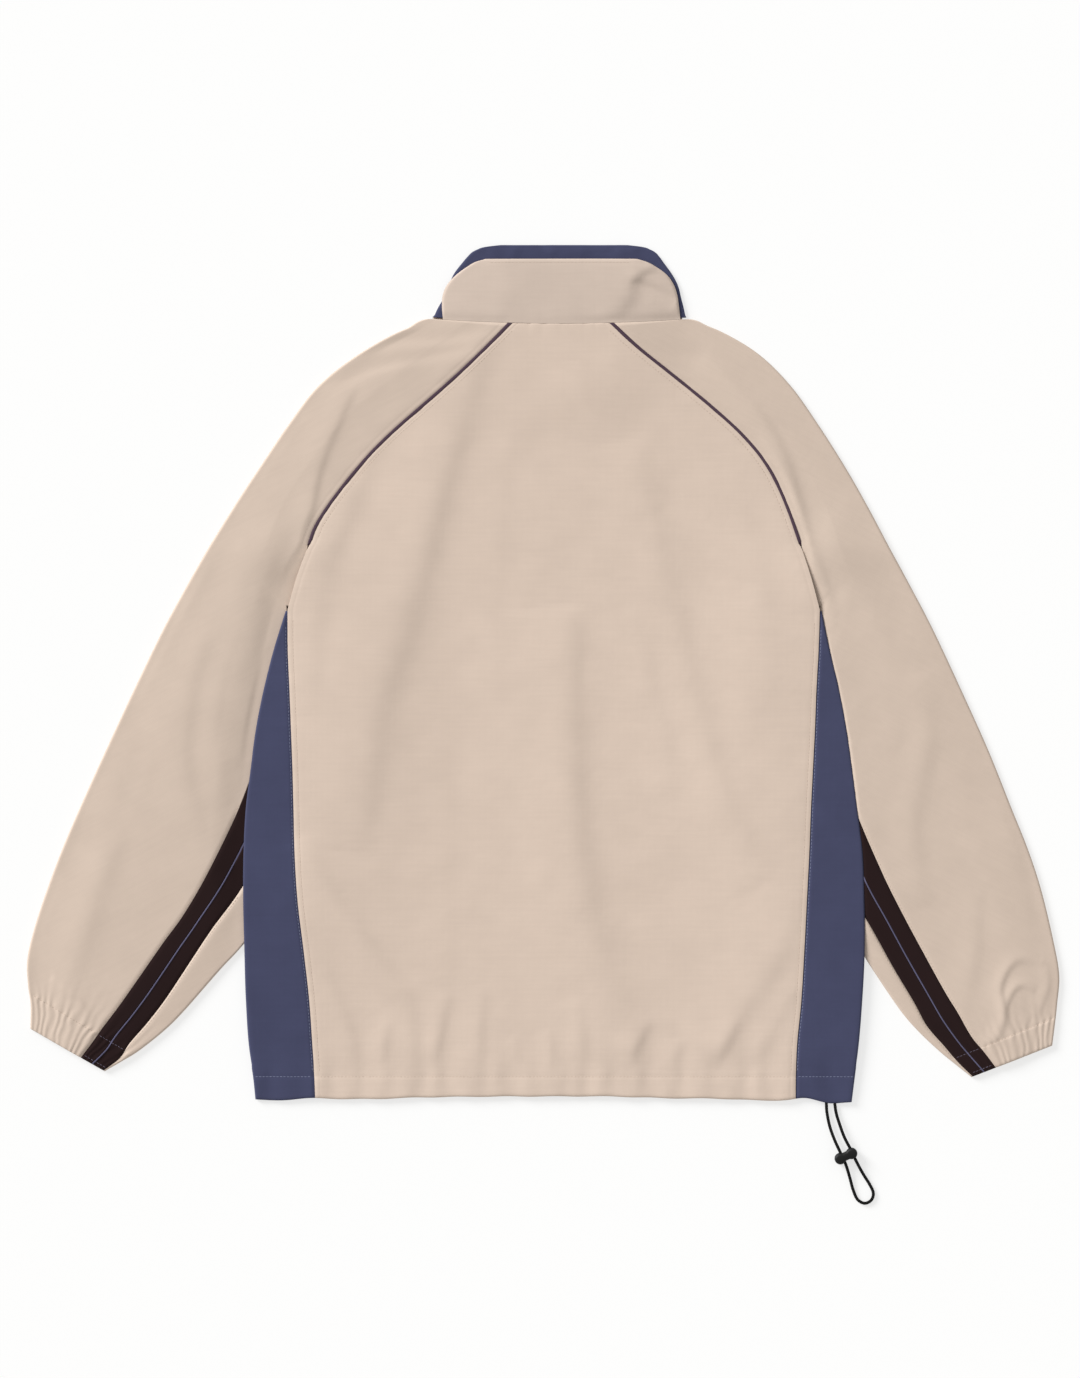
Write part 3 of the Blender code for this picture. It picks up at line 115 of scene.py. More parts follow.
# Stations along each sleeve, cuff first: the x and y of the outer and the inner end of a line
# across the sleeve, and the dark stripe's edges as shares of it. The body hides the inner ends
# from station 7 on. The last station ends at the underarm.
ARMS = {
    "left": np.array([
        (-471.4, -327.5, -403, -366.6, 0.68, 0.985), (-471.2, -305, -385.5, -356.5, 0.67, 0.96),
        (-473.6, -287.5, -370.8, -347.3, 0.665, 0.905),
        (-474.3, -264.5, -347.8, -328.9, 0.665, 0.88),
        (-468.3, -236.9, -329.4, -310.5, 0.67, 0.87), (-456.3, -200.1, -297.2, -273.7, 0.67, 0.845),
        (-442.5, -163.3, -276, -250.7, 0.675, 0.83), (-426.9, -126.5, -242, -208, 0.655, 0.825),
        (-402, -71.3, -210, -145, 0.65, 0.82), (-376.3, -16.1, -197, -76, 0.67, 0.84),
        (-349.6, 39.1, -205, -14, 0.72, 0.89), (-328, 79, -218, 28, 0.83, 0.95),
        (-307, 116, -230.5, 57.5, 0.93, 0.98),
    ]),
    "right": np.array([
        (468.3, -343, 394, -372, 0.7, 0.985), (471, -321.5, 378, -359.3, 0.71, 0.965),
        (472.9, -304, 363.4, -347.3, 0.72, 0.94), (474.7, -278, 344.1, -328.9, 0.71, 0.93),
        (469.2, -246, 328.4, -310.5, 0.715, 0.905), (458.2, -200.1, 306.4, -278.3, 0.72, 0.9),
        (446.2, -163.3, 284.3, -244.3, 0.717, 0.89), (431.5, -126.5, 256, -206, 0.69, 0.87),
        (409.4, -71.3, 227, -145, 0.68, 0.85), (384.6, -16.1, 215, -76, 0.69, 0.86),
        (358.8, 39.1, 223, -14, 0.74, 0.9), (338, 79, 237, 28, 0.84, 0.95),
        (318, 116, 250.3, 57.5, 0.93, 0.98),
    ]),
}
UNDERARM = len(ARMS["left"]) - 1

# The outer fold from the underarm's level to the neck, by share of the raglan seam's height
SHOULDER = table(
    "at left_x left_y right_x right_y",
    (0, -307, 116, 318, 116), (0.15, -283, 154.5, 300, 150), (0.3, -259, 191, 279, 187),
    (0.45, -234, 228, 253, 228), (0.6, -207, 263, 226.5, 265), (0.75, -172, 291, 195.5, 294.8),
    (0.88, -137, 311, 163, 313.6), (1, -104, 323.5, 130.6, 325.5),
)

# The collar: its blue facing shows past the outer cloth at the top and the ends
COLLAR = table(
    "at facing_left back_left back_right facing_right",
    (321.5, -102.2, -92, 126.2, 132), (333.5, -97.5, -92.9, 124.9, 129.8),
    (344.5, -91.3, -92.2, 123.4, 127), (355.6, -86.6, -87.6, 119.8, 124.2),
    (366.6, -81.9, -77.6, 111.8, 118.4), (373, -77.2, -69, 103, 113.8),
    (377.6, -73.4, -61, 94.6, 110.4), (380, -71.4, -53, 87, 108.7),
    (384, -68, -53, 87, 105.8), (388.7, -61, -53, 87, 99),
    (391.6, -51.5, -53, 87, 90), (393, -39, -53, 87, 78),
)

HEM_LINE = table(
    "at edge",
    (-275, -391.5), (-255, -393.4), (-212, -391.4), (-178, -392.2), (-100, -390.4),
    (10, -389.7), (70, -389.9), (110, -391.3), (165, -391.9), (200, -393.4),
    (225, -393), (242, -391.4), (256, -393.8), (275, -395.6), (292, -394.6),
)

# The drawcord: two strands leave the hem, pass the lock and meet in a loop. x, y and the
# height of the cord's middle.
CORD_ROUTE = np.array([
    (260.4, -396.1, 2.3), (260.9, -403.5, 2.4), (263.4, -416, 3.4), (267.6, -428, 4.5),
    (272.6, -439, 4.8), (277.9, -450.6, 4.6), (281.8, -463, 2.6), (285, -474.5, 1.5),
    (289.2, -483.6, 1.4), (295.8, -487, 1.4), (301.8, -484, 1.4), (303.6, -477.6, 1.4),
    (300.4, -470, 1.5), (294.2, -460, 2.8), (288.2, -449, 4.7), (282.8, -437.6, 4.8),
    (276.8, -426, 4.4), (272.4, -414, 3.4), (269.4, -404, 2.4), (268.2, -396.1, 2.3),
])
CORD_X = 264.3              # middle of the two strands where they leave the hem
CORD_DIAMETER = 2.8
CORD_HIDDEN = 2.5           # inside the hem at each end
CORD_POINTS, CORD_SIDES = 340, 16
BRAID_TURN = 5.2            # length of cord in which its strands go once round
LOCK_CENTRE = (278.2, -443.2, 4.75)
LOCK_LENGTH, LOCK_THICKNESS = 22.0, 9.0
LOCK_LOBE, LOCK_WAIST = 5.3, 3.9    # half widths at the round ends and between them
LOCK_TILT = 25.0            # degrees
LOCK_RINGS, LOCK_SIDES = 49, 28
LOCK_SQUARENESS = 0.62

ZIP_LEVELS = (-386.5, 321.0)
CHAIN_HALF = 2.3
CHAIN_DROP = 1.0            # from the tape's lower face to the chain's
TOOTH_PITCH, TOOTH_PROUD = 1.9, 0.22
TOOTH_FACES = np.array([
    (0, 1, 3, 2), (4, 6, 7, 5), (0, 4, 5, 1), (1, 5, 7, 3), (3, 7, 6, 2), (2, 6, 4, 0),
])

STITCH_LENGTH, STITCH_PITCH, THREAD_RADIUS = 2.5, 3.2, 0.24
BEIGE_STITCH, BLUE_STITCH, COLLAR_STITCH = 4.8, 1.6, 3.4    # distances from the seam or edge
RAGLAN_STITCH, STRIPE_STITCH = 5.8, 1.5


# ---- curves and fields

def smooth_curve(keys, values, at):
    """Points at `at` on a smooth curve through values given at rising keys."""
    at = np.clip(at, keys[0], keys[-1])
    slopes = np.gradient(values, keys, axis=0)
    i = np.clip(np.searchsorted(keys, at, side="right") - 1, 0, len(keys) - 2)
    step = keys[i + 1] - keys[i]
    t = (at - keys[i]) / step
    if values.ndim > 1:
        t, step = t[..., None], step[..., None]
    return (
        (1 + 2 * t) * (1 - t) ** 2 * values[i]
        + t * (1 - t) ** 2 * step * slopes[i]
        + t * t * (3 - 2 * t) * values[i + 1]
        + t * t * (t - 1) * step * slopes[i + 1]
    )


def read(columns, name, at):
    return smooth_curve(columns["at"], columns[name], at)


def smooth_line(points, count):
    """Points on a smooth curve through a line's points."""
    last = len(points) - 1
    return smooth_curve(np.arange(last + 1.0), points, np.linspace(0, last, count))


def path_length(line):
    """The distance along a line to each of its points."""
    steps = np.linalg.norm(np.diff(line, axis=0), axis=1)
    return np.concatenate([[0], np.cumsum(steps)])


def ease(t):
    """0 below 0, 1 above 1, and smooth between."""
    t = np.clip(t, 0.0, 1.0)
    return t * t * (3 - 2 * t)


def bell(away, width):
    """1 at 0, and fading out over a width on both sides."""
    return np.exp(-((away / width) ** 2))


def distance_to_line(x, y, line):
    """How far points are from a polyline, in plan, and where along it, 0 to 1."""
    points = np.stack([np.ravel(x), np.ravel(y)], axis=1)[:, None, :]
    start, step = line[:-1][None], np.diff(line, axis=0)[None]
    share = np.clip(((points - start) * step).sum(2) / (step**2).sum(2), 0, 1)
    away = np.linalg.norm(points - start - share[..., None] * step, axis=2)
    nearest = away.argmin(1)
    picked = np.arange(len(nearest))
    along = (nearest + share[picked, nearest]) / step.shape[1]
    return away[picked, nearest].reshape(np.shape(x)), along.reshape(np.shape(x))


INNER_FOLD = {side: smooth_line(rows[:, 2:4], 61) for side, rows in ARMS.items()}


def lift(x, y, ramp=LIFT_RAMP):
    """Height of the laid front's outer face: it rides over the sleeves that lie beneath it."""
    height = 0.0
    for side, line in INNER_FOLD.items():
        away, _ = distance_to_line(x, y, line)
        fold = np.interp(y, line[:, 1], line[:, 0])
        over = (OUTWARD[side] * (x - fold) > 0) & (y < UNDERARM_Y) & (y > line[0, 1])
        away = np.where(over, 0.0, away)
        height = np.maximum(height, LIFT * (1 - ease((away - 4.0) / ramp)))
    return height


def slider_lift(x, y, spread=1.0):
    """The slider and its pull lie under the collar and raise the cloth a little."""
    reach = np.hypot(
        (x - NECK_MIDDLE_X) / SLIDER_LIFT_REACH[1], (y - SLIDER_LIFT_Y) / SLIDER_LIFT_REACH[0]
    ) / spread
    return SLIDER_LIFT * (1 - ease((reach - 0.42) / 0.58))


def front_under(x, y):
    """The outer face of the front, which faces the surface."""
    return lift(x, y) + slider_lift(x, y)


def fold_x(y, side):
    return read(BODY, "fold_" + side, y)


def seam_x(y, side):
    return read(BODY, "seam_" + side, y)


def raglan_x(y, side, away=0.0):
    """The raglan seam's x at y, moved away from the body's middle by a true distance."""
    slope = np.interp(y, RAGLAN["at"], np.gradient(RAGLAN[side], RAGLAN["at"]))
    return read(RAGLAN, side, y) + OUTWARD[side] * away * np.sqrt(1 + slope**2)


def sleeve_seam_x(y, side, away=0.0):
    """The seam itself, which is tucked under the body's rolled edge below the piping."""
    tuck = TUCK * ease((PIPING_END_Y - 4 - y) / 30)
    return raglan_x(y, side, away) - OUTWARD[side] * tuck


def middle_x(y):
    return np.interp(y, [BODY_BOTTOM, NECK_Y], [HEM_MIDDLE_X, NECK_MIDDLE_X])


def neck_y(x):
    return NECK_Y + 4.5 * ((x - NECK_MIDDLE_X) / 117.0) ** 2


def body_gap(x, y):
    """Free height between front and back, smaller at the folded sides."""
    inside = np.minimum(x - fold_x(y, "left"), fold_x(y, "right") - x)
    closed = (1 - ease(inside / 70)) * ease((100 - y) / 70)
    return BODY_GAP_MIDDLE - (BODY_GAP_MIDDLE - BODY_GAP_EDGE) * closed


def rolled_edge(x, y):
    """The back bulges a little where it rolls over the sleeve."""
    edge = np.minimum(np.abs(x - raglan_x(y, "left")), np.abs(x - raglan_x(y, "right")))
    return 0.5 * bell(edge - 6, 9) * bell(y - 85, 32)


# ---- creases

def noise(x, y, scale, seed):
    """Smooth value noise from -1 to 1."""
    x, y = x / scale, y / scale
    i, j = np.floor(x), np.floor(y)
    u, v = ease(x - i), ease(y - j)

    def corner(a, b):
        value = np.sin(a * 127.1 + b * 311.7 + seed * 74.7) * 43758.5453
        return value - np.floor(value)

    low = corner(i, j) * (1 - u) + corner(i + 1, j) * u
    high = corner(i, j + 1) * (1 - u) + corner(i + 1, j + 1) * u
    return 2 * (low * (1 - v) + high * v) - 1


def soft_folds(*rows):
    """Folds as height, width, reach and smooth line. A row ends with the x and y of each point
    of the line, from the top down. A fold falls away steeply on the right of its line and rises
    gently towards it over its reach on the left. A negative height is the reverse."""
    folds = []
    for row in rows:
        points = np.array(row[3:], float).reshape(-1, 2)
        folds.append((*row[:3], smooth_line(points, 4 * len(points))))
    return folds


BACK_FOLDS = soft_folds(
    (3.4, 12, 60, -44, 312, -54, 281, -80, 190, -107, 87, -126, 20, -141, -30, -152, -90,
     -160, -165),
    (1.7, 9, 30, -140, 235, -160, 184, -182, 130, -199, 87, -206, 19, -206, -40),
    (3.3, 12, 60, 31, 60, 33, 19, 33, -59, 38, -137, 48, -214, 62, -263, 82, -311, 96, -360),
    (1.9, 10, 45, 88, 215, 101, 164, 126, 67, 145, -20, 164, -88, 189, -146, 210, -190),
    (1.0, 8, 30, 84, 60, 92, 30, 101, 0, 116, -59, 126, -110),
    (1.0, 9, 30, 34, 285, 43, 252, 66, 225, 92, 203, 112, 150),
    (1.8, 7, 30, -216, -150, -200, -185, -161, -243, -134, -280, -120, -302, -112, -370),
    (1.0, 5, 20, -200, -270, -190, -292, -178, -320, -170, -350, -172, -374),
    (1.8, 9, 40, 238, -205, 222, -262, 198, -300, 172, -338, 150, -364),
    (1.1, 5, 22, 234, -288, 216, -325, 203, -350, 186, -376),
    (1.4, 3.0, 16, 182, -318, 172, -340, 164, -356, 156, -386),
    (1.2, 3.0, 14, 130, -338, 125, -354, 122, -370, 120, -388),
    (1.2, 3.5, 16, 101, -318, 92, -336, 86, -350, 83, -386),
    (1.0, 4.0, 18, 33, -300, 38, -325, 41, -360, 42, -386),
    (1.2, 3.5, 16, -84, -295, -90, -320, -96, -352, -98, -384),
    (1.0, 3.5, 16, -52, -290, -55, -325, -56, -360, -55, -386),
    (0.9, 3.0, 14, -140, -320, -144, -345, -146, -384),
    (0.9, 3.0, 14, 8, -330, 10, -355, 9, -386),
    (0.8, 3.0, 12, -24, -335, -22, -360, -23, -386),
    (0.8, 9, 30, 180, 190, 196, 120, 212, 50, 220, -20),
    (0.5, 8, 30, -20, 250, -34, 150, -40, 60, -36, -30),
    (0.5, 8, 30, -90, -60, -84, -130, -88, -210, -76, -280),
)
SLEEVE_FOLDS = soft_folds(
    (1.3, 3, 18, -172, 262, -185, 232, -204, 184, -214, 126, -222, 85),
    (-1.3, 4, 14, -48, 312, -90, 304, -140, 300, -190, 284),
    (-1.1, 4, 14, -62, 296, -100, 288, -150, 278, -196, 258),
    (1.1, 8, 26, -256, 80, -272, 48, -292, -20, -297, -78, -284, -120),
    (1.2, 8, 28, -305, 40, -316, -1, -326, -78, -311, -146, -294, -180),
    (0.6, 6, 18, -252, 60, -262, 25, -272, -59, -280, -90),
    (1.0, 8, 24, -384, -150, -394, -176, -410, -225, -423, -272, -426, -300),
    (0.9, 2.0, 8, -450, -278, -440, -287, -428, -297, -419, -309, -414, -322),
    (0.6, 9, 30, -372, -60, -388, -110, -402, -160),
    (0.6, 10, 30, -300, 110, -322, 60, -344, 10, -356, -40),
    (2.2, 4.5, 20, 150, 294, 180, 264, 204, 235, 221, 205, 232, 175, 240, 148, 248, 118,
     262, 80, 272, 40),
    (1.6, 8, 26, 352, 0, 359, -59, 344, -137, 350, -175, 354, -215),
    (0.8, 10, 30, 310, 60, 326, 0, 330, -60, 322, -120),
    (1.5, 2.2, 9, 460, -270, 440, -266, 429, -273, 422, -290, 424, -305, 425, -320, 418, -337,
     405, -343),
    (1.2, 1.9, 7, 452, -294, 440, -289, 432, -295, 427, -309, 429, -324),
    (0.8, 2.5, 9, 462, -262, 466, -285, 462, -300, 455, -318),
    (0.9, 7, 20, 400, -200, 402, -240, 396, -280, 388, -320),
    (0.8, 10, 26, 420, -120, 440, -180, 452, -230, 456, -262),
)
COLLAR_FOLDS = soft_folds(
    (2.3, 5, 60, 92, 384, 86, 360, 83, 344, 74, 332, 64, 321),
    (1.4, 1.6, 10, 106, 373, 100, 370, 92, 366, 84, 357),
    (-1.5, 1.6, 10, 82, 361, 92, 359, 106, 353, 124, 344),
    (0.7, 9, 26, 100, 378, 108, 362, 112, 345, 112, 325),
)


def signed_distance(x, y, line):
    """Distance from a polyline, positive on the right of one that runs down, and where along."""
    away, along = distance_to_line(x, y, line)
    at = np.clip(along * (len(line) - 1), 0, len(line) - 1.001).astype(int)
    start, step = line[at], np.diff(line, axis=0)[at]
    side = step[..., 0] * (y - start[..., 1]) - step[..., 1] * (x - start[..., 0])
    return np.where(side > 0, away, -away), along


def fold_height(x, y, folds):
    """Sum of soft folds, each fading out at its ends and wandering a little in width."""
    x, y = np.asarray(x, float), np.asarray(y, float)
    total = np.zeros(x.shape)
    wander = 1 + 0.25 * noise(x, y, 34, 3)
    for height, width, reach, line in folds:
        low, high = line.min(0) - 3.2 * reach, line.max(0) + 3.2 * reach
        near = (x > low[0]) & (x < high[0]) & (y > low[1]) & (y < high[1])
        if not near.any():
            continue
        right, along = signed_distance(x[near], y[near], line)
        shape = 0.5 * (1 - np.tanh(right / (width * wander[near])))
        shape = shape * bell(np.minimum(right, 0), reach)
        total[near] += height * shape * np.sin(math.pi * along) ** 0.5
    return total


def crumple(x, y):
    """Fine unevenness of cloth that has been worn and laid down."""
    warp = 9 * noise(x, y, 55, 5)
    return (
        0.42 * noise(x + warp, y, 62, 1)
        + 0.14 * noise(x, y + warp, 27, 2)
        + 0.03 * noise(x + y * 0.4, y - x * 0.4, 12, 4)
    )


def seam_roll(depth):
    """Cloth turns down into a seam that lies `depth` away."""
    return -0.85 * bell(depth, 1.3)


def stitch_line(depth, at):
    """A shallow groove along a row of stitches, `at` from the seam."""
    return -0.22 * bell(np.abs(depth) - at, 0.9)


def pucker(along, depth, seed):
    """Small ripples across a sewn seam."""
    ripple = noise(along, 0, 6.5, seed) + 0.6 * noise(along, 0, 3.4, seed + 1)
    return 0.16 * ripple * np.exp(-((np.abs(depth) / 9.0) ** 1.4))


def hem_gather(x, y):
    """Uneven gathers of the drawn hem, which fan out and fade above the casing."""
    above = np.maximum(y - HEM_STITCH_Y, 0)
    across = x + 5 * noise(x, y, 45, 13) + 9 * noise(x, 0, 60, 14)
    size = 0.6 + 0.4 * noise(x, 0, 38, 12)
    wave = 0.45 * size * np.sin(math.tau * across / 27) + 0.3 * np.sin(across / 11.7 + 1.3)
    small = np.sin(x / 2.6 + 2 * noise(x, 0, 30, 11)) * size
    casing = 0.08 * ease((HEM_STITCH_Y + 2 - y) / 4)
    low, groove = bell(y - HEM_STITCH_Y, 9), -0.15 * bell(y - HEM_STITCH_Y, 1.5)
    return wave * np.exp(-above / 24) + 0.16 * small * low + casing + groove


def hem_y(x):
    """The hem's lower edge. It covers the start of the drawcord."""
    return read(HEM_LINE, "edge", x) + 0.3 * np.sin(x / 7.1) - 1.2 * bell(x - CORD_X, 9)


def hem_round(y, edge_y):
    """The casing's folded lower edge."""
    inside = np.clip((y - edge_y) / 2.6, 0, 1)
    return 1.3 * (1 - np.sqrt(np.clip(1 - (1 - inside) ** 2, 0, 1)))


def back_top(x, y):
    """The back's outer face. It bridges in wide soft slopes what lifts the front."""
    folds = fold_height(x, y, BACK_FOLDS) * ease((y + 372) / 30)
    fine = crumple(x, y) * ease((y + 380) / 20)
    under = lift(x, y, BACK_RAMP) + slider_lift(x, y, BACK_SPREAD)
    return (
        under + 2 * CLOTH + body_gap(x, y) + folds + fine + rolled_edge(x, y) + hem_gather(x, y)
    )


# ---- meshes

PIECES = {}


def grid_faces(at):
    """The quads of a grid of point numbers."""
    return np.stack([at[:-1, :-1], at[:-1, 1:], at[1:, 1:], at[1:, :-1]], axis=2).reshape(-1, 4)


def tube_faces(rings, sides):
    at = np.arange(rings * sides).reshape(rings, sides)
    return grid_faces(np.column_stack([at, at[:, 0]]))


def add_piece(name, points, faces, colour, node=None, ending="_look"):
    """A piece of the jacket from points in millimetres, for a CAD node or beside them."""
    mesh = bpy.data.meshes.new(name)
    mesh.from_pydata((points * MM).tolist(), [], faces)
    mesh.shade_smooth()
    mesh.materials.append(colour)
    piece = bpy.data.objects.new(name + ending, mesh)
    bpy.context.scene.collection.objects.link(piece)
    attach(piece, "jacket")
    if node:
        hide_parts(node)
    PIECES[name] = piece
    return piece


def shell(name, rows, colour, more=()):
    """A closed cloth wall from rows of outer and inner points. The rows of `more` are a second
    grid, whose last column is the first one's first column."""
    grid = np.array(rows)
    layers = [grid.transpose(1, 0, 2, 3).reshape(2, -1, 3)]
    at = np.arange(layers[0].shape[1]).reshape(len(grid), -1)
    faces = [grid_faces(at)]
    if more:
        extra = np.array(more)[:, :, :-1]
        layers.append(extra.transpose(1, 0, 2, 3).reshape(2, -1, 3))
        own = np.arange(layers[1].shape[1]).reshape(len(extra), -1) + at.size
        faces.append(grid_faces(np.column_stack([own, at[:len(extra), 0]])))
    points = np.concatenate(layers, axis=1)
    faces = np.concatenate(faces)
    count = points.shape[1]
    edges = np.concatenate([faces[:, [i, (i + 1) % 4]] for i in range(4)])
    forward, backward = edges[:, 0] * count + edges[:, 1], edges[:, 1] * count + edges[:, 0]
    free = edges[~np.isin(forward, backward)]
    rim = np.column_stack([free[:, 1], free[:, 0], free[:, 0] + count, free[:, 1] + count])
    quads = np.concatenate([faces, rim, faces[:, ::-1] + count])
    points = points.reshape(-1, 3) + SHIFT
    a, b, c, d = (points[quads[:, i]] for i in range(4))
    if np.sum(a * (np.cross(b, c) + np.cross(c, d))) < 0:    # the faces point inwards
        quads = quads[:, ::-1]
    add_piece(name, points, quads.tolist(), colour, name)


def flat_row(x, y, outer_z, inner_z):
    return np.column_stack([x, y, outer_z]), np.column_stack([x, y, inner_z])


EDGE_OFFSETS = np.array([0.0, 0.35, 0.8, 1.4, 2.2, 3.2, 4.0, 4.6, 5.2, 6.2, 8.0])


def spaced(left, right, middle):
    """Positions from one edge to the other, close together beside both."""
    width = right - left
    edge = EDGE_OFFSETS * min(1.0, width / 40)
    inside = np.linspace(edge[-1], width - edge[-1], middle + 1)
    return left + np.concatenate([edge[:-1], inside, width - edge[:-1][::-1]])


# ---- body

HEM_SHARES = [
    0.0, 0.02, 0.06, 0.12, 0.2, 0.32, 0.46, 0.6, 0.74, 0.84, 0.9, 0.95, 1.0, 1.05, 1.11, 1.2, 1.34,
]
HEM_LEVELS = [HEM_LEVEL + share * HEM_DEPTH for share in HEM_SHARES]
BODY_LEVELS = np.arange(HEM_STITCH_Y + 11, UNDERARM_Y - 1, STEP)
NECK_ROWS = 8               # that bend along the neck seam


def beside_piping(y):
    """How far the cloth on either side keeps from the raglan seam's line for its piping."""
    return PIPING_WIDTH / 2 * ease((y - PIPING_END_Y + 6) / 6)


def hem_row_y(x, share):
    return hem_y(x) + share * (HEM_STITCH_Y - hem_y(x))


def across_back(y):
    """A row's points, from edge to edge: side seam, rolled edge, then beside the piping."""
    if y <= UNDERARM_Y:
        left, right = seam_x(y, "left") + SEAM / 2, seam_x(y, "right") - SEAM / 2
    else:
        left, right = (raglan_x(y, side, -beside_piping(y)) for side in OUTWARD)
    return spaced(left, right, 128)


def back_panel():
    plan = []
    for level, share in zip(HEM_LEVELS, HEM_SHARES):
        x = across_back(level)
        plan.append((x, hem_row_y(x, share)))
    top = [NECK_Y - 2.2, NECK_Y - 1.2]
    for y in np.concatenate([BODY_LEVELS, np.arange(UNDERARM_Y, NECK_Y - 3, STEP), top]):
        x = across_back(y)
        plan.append((x, np.full(len(x), y)))
    for i in range(NECK_ROWS):
        x, y = plan[i - NECK_ROWS]
        plan[i - NECK_ROWS] = (x, y + (neck_y(x) - NECK_Y) * ((i + 1) / (NECK_ROWS + 1)) ** 2)
    x = across_back(NECK_Y - 0.1)
    plan.append((x, neck_y(x) - 0.1))
    rows = []
    for x, y in plan:
        depth = np.minimum(x - x[0], x[-1] - x)
        seen = ease((62 - y[0]) / 8 if y[0] < UNDERARM_Y else (y[0] - 112) / 8)
        below_neck = neck_y(x) - y
        top = back_top(x, y)
        z = top + 0.28 * seam_roll(depth) * seen + 0.5 * stitch_line(depth, BEIGE_STITCH)
        z = z + pucker(y, depth, 20) + 0.1 * seam_roll(below_neck) + pucker(x, below_neck, 24)
        z = z - hem_round(y, hem_y(x))
        rows.append(flat_row(x, y, z, np.minimum(top - CLOTH, z - 0.5)))
    shell("back_panel", rows, CLOTH_BEIGE)


def front_seam_x(y, side):
    return fold_x(y, side) - OUTWARD[side] * read(FRONT_SEAM, "width", y)


TURN = 1 - np.cos(np.radians([0, 18, 36, 54, 72, 90]))      # depths round a folded edge


def folded_edge(depth, radius):
    """Cosine and sine of a point's angle round a folded edge, from its depth behind the edge."""
    cosine = np.clip(1 - depth / radius, 0, 1)
    return cosine, np.sqrt(1 - cosine**2)


def fold_depths(reach, radius, middle):
    """Depths from a folded edge to a seam `reach` behind it."""
    unit = min(radius, reach / 3)
    end = np.array([5.5, 4.0, 2.8, 1.8, 1.0, 0.45, 0.0]) * min(1.0, (reach - unit) / 25)
    inside = np.linspace(unit, reach - end[0], middle + 1)[1:]
    return np.concatenate([unit * TURN, inside, reach - end[1:]])


def side_panel(side):
    out = OUTWARD[side]
    rows = []
    for index, y in enumerate([*HEM_LEVELS, *BODY_LEVELS, UNDERARM_Y - 1]):
        edge = fold_x(y, side)
        radius = CLOTH + body_gap(edge, y) / 2
        back_depth = fold_depths(out * (edge - seam_x(y, side)) - SEAM / 2, radius, 16)
        front_depth = fold_depths(out * (edge - front_seam_x(y, side)) - SEAM / 2, radius, 8)
        depth = np.concatenate([back_depth[::-1], front_depth[1:]])
        on_back = np.arange(len(depth)) < len(back_depth)
        x = edge - out * depth
        at_y = hem_row_y(x, HEM_SHARES[index]) if index < len(HEM_SHARES) else np.full(len(x), y)
        cosine, sine = folded_edge(depth, radius)
        middle = front_under(x, at_y) + radius
        from_seam = back_depth[-1] - depth
        top = back_top(x, at_y) - hem_round(at_y, hem_y(x))
        fine = seam_roll(from_seam) + stitch_line(from_seam, BLUE_STITCH)
        fine = fine + pucker(at_y, from_seam, 20)
        back_z = middle + (top - middle) * sine + np.where(on_back, fine, 0)
        back_inner_z = np.minimum(middle + (top - CLOTH - middle) * sine, back_z - 0.5)
        outer_z = np.where(on_back, back_z, middle - radius * sine)
        inner_z = np.where(on_back, back_inner_z, middle - (radius - CLOTH) * sine)
        inner = np.column_stack([x - out * CLOTH * cosine, at_y, inner_z])
        rows.append((np.column_stack([x, at_y, outer_z]), inner))
    shell("side_panel_" + side, rows, CLOTH_BLUE)


def front_level(level):
    share = (level - UNDERARM_Y) / (RAGLAN_TOP - UNDERARM_Y)
    return UNDERARM_Y + (NECKLINE_SIDE_Y - UNDERARM_Y) * share


def front_neckline(share, side):
    start_x = sleeve_seam_x(NECKLINE_SIDE_Y, side, -SEAM)
    end_x = NECK_MIDDLE_X + OUTWARD[side] * ZIP_GAP / 2
    x = start_x + (end_x - start_x) * share
    return x, FRONT_NECK_Y + (NECKLINE_SIDE_Y - FRONT_NECK_Y) * (1 - share) ** 2


def front_panel(side):
    out = OUTWARD[side]
    shares = np.linspace(0, 1, 31)
    drop_from = UNDERARM_Y + 60
    levels = [HEM_LEVEL, HEM_LEVEL + 4, *np.arange(HEM_STITCH_Y, UNDERARM_Y, 9)]
    levels += [front_level(y) for y in np.linspace(UNDERARM_Y, RAGLAN_TOP, 30)]
    neck_x, neckline = front_neckline(shares, side)
    rows = []
    for y in levels:
        if y < UNDERARM_Y:
            start = front_seam_x(y, side) - out * SEAM / 2
        else:
            start = sleeve_seam_x(y, side, -SEAM)
        x = start + (middle_x(y) + out * ZIP_GAP / 2 - start) * shares
        at_y = hem_y(x) + 1.5 if y == HEM_LEVEL else np.full(len(x), y)
        if y > drop_from:
            part = (y - drop_from) / (NECKLINE_SIDE_Y - drop_from)
            at_y = y + (neckline - NECKLINE_SIDE_Y - SEAM) * part
            x = x + (neck_x - x) * part**4 * (shares > 0)
        under = front_under(x, at_y)
        rows.append(flat_row(x, at_y, under, under + CLOTH))
    shell("front_panel_" + side, rows, CLOTH_BEIGE)


# ---- sleeves

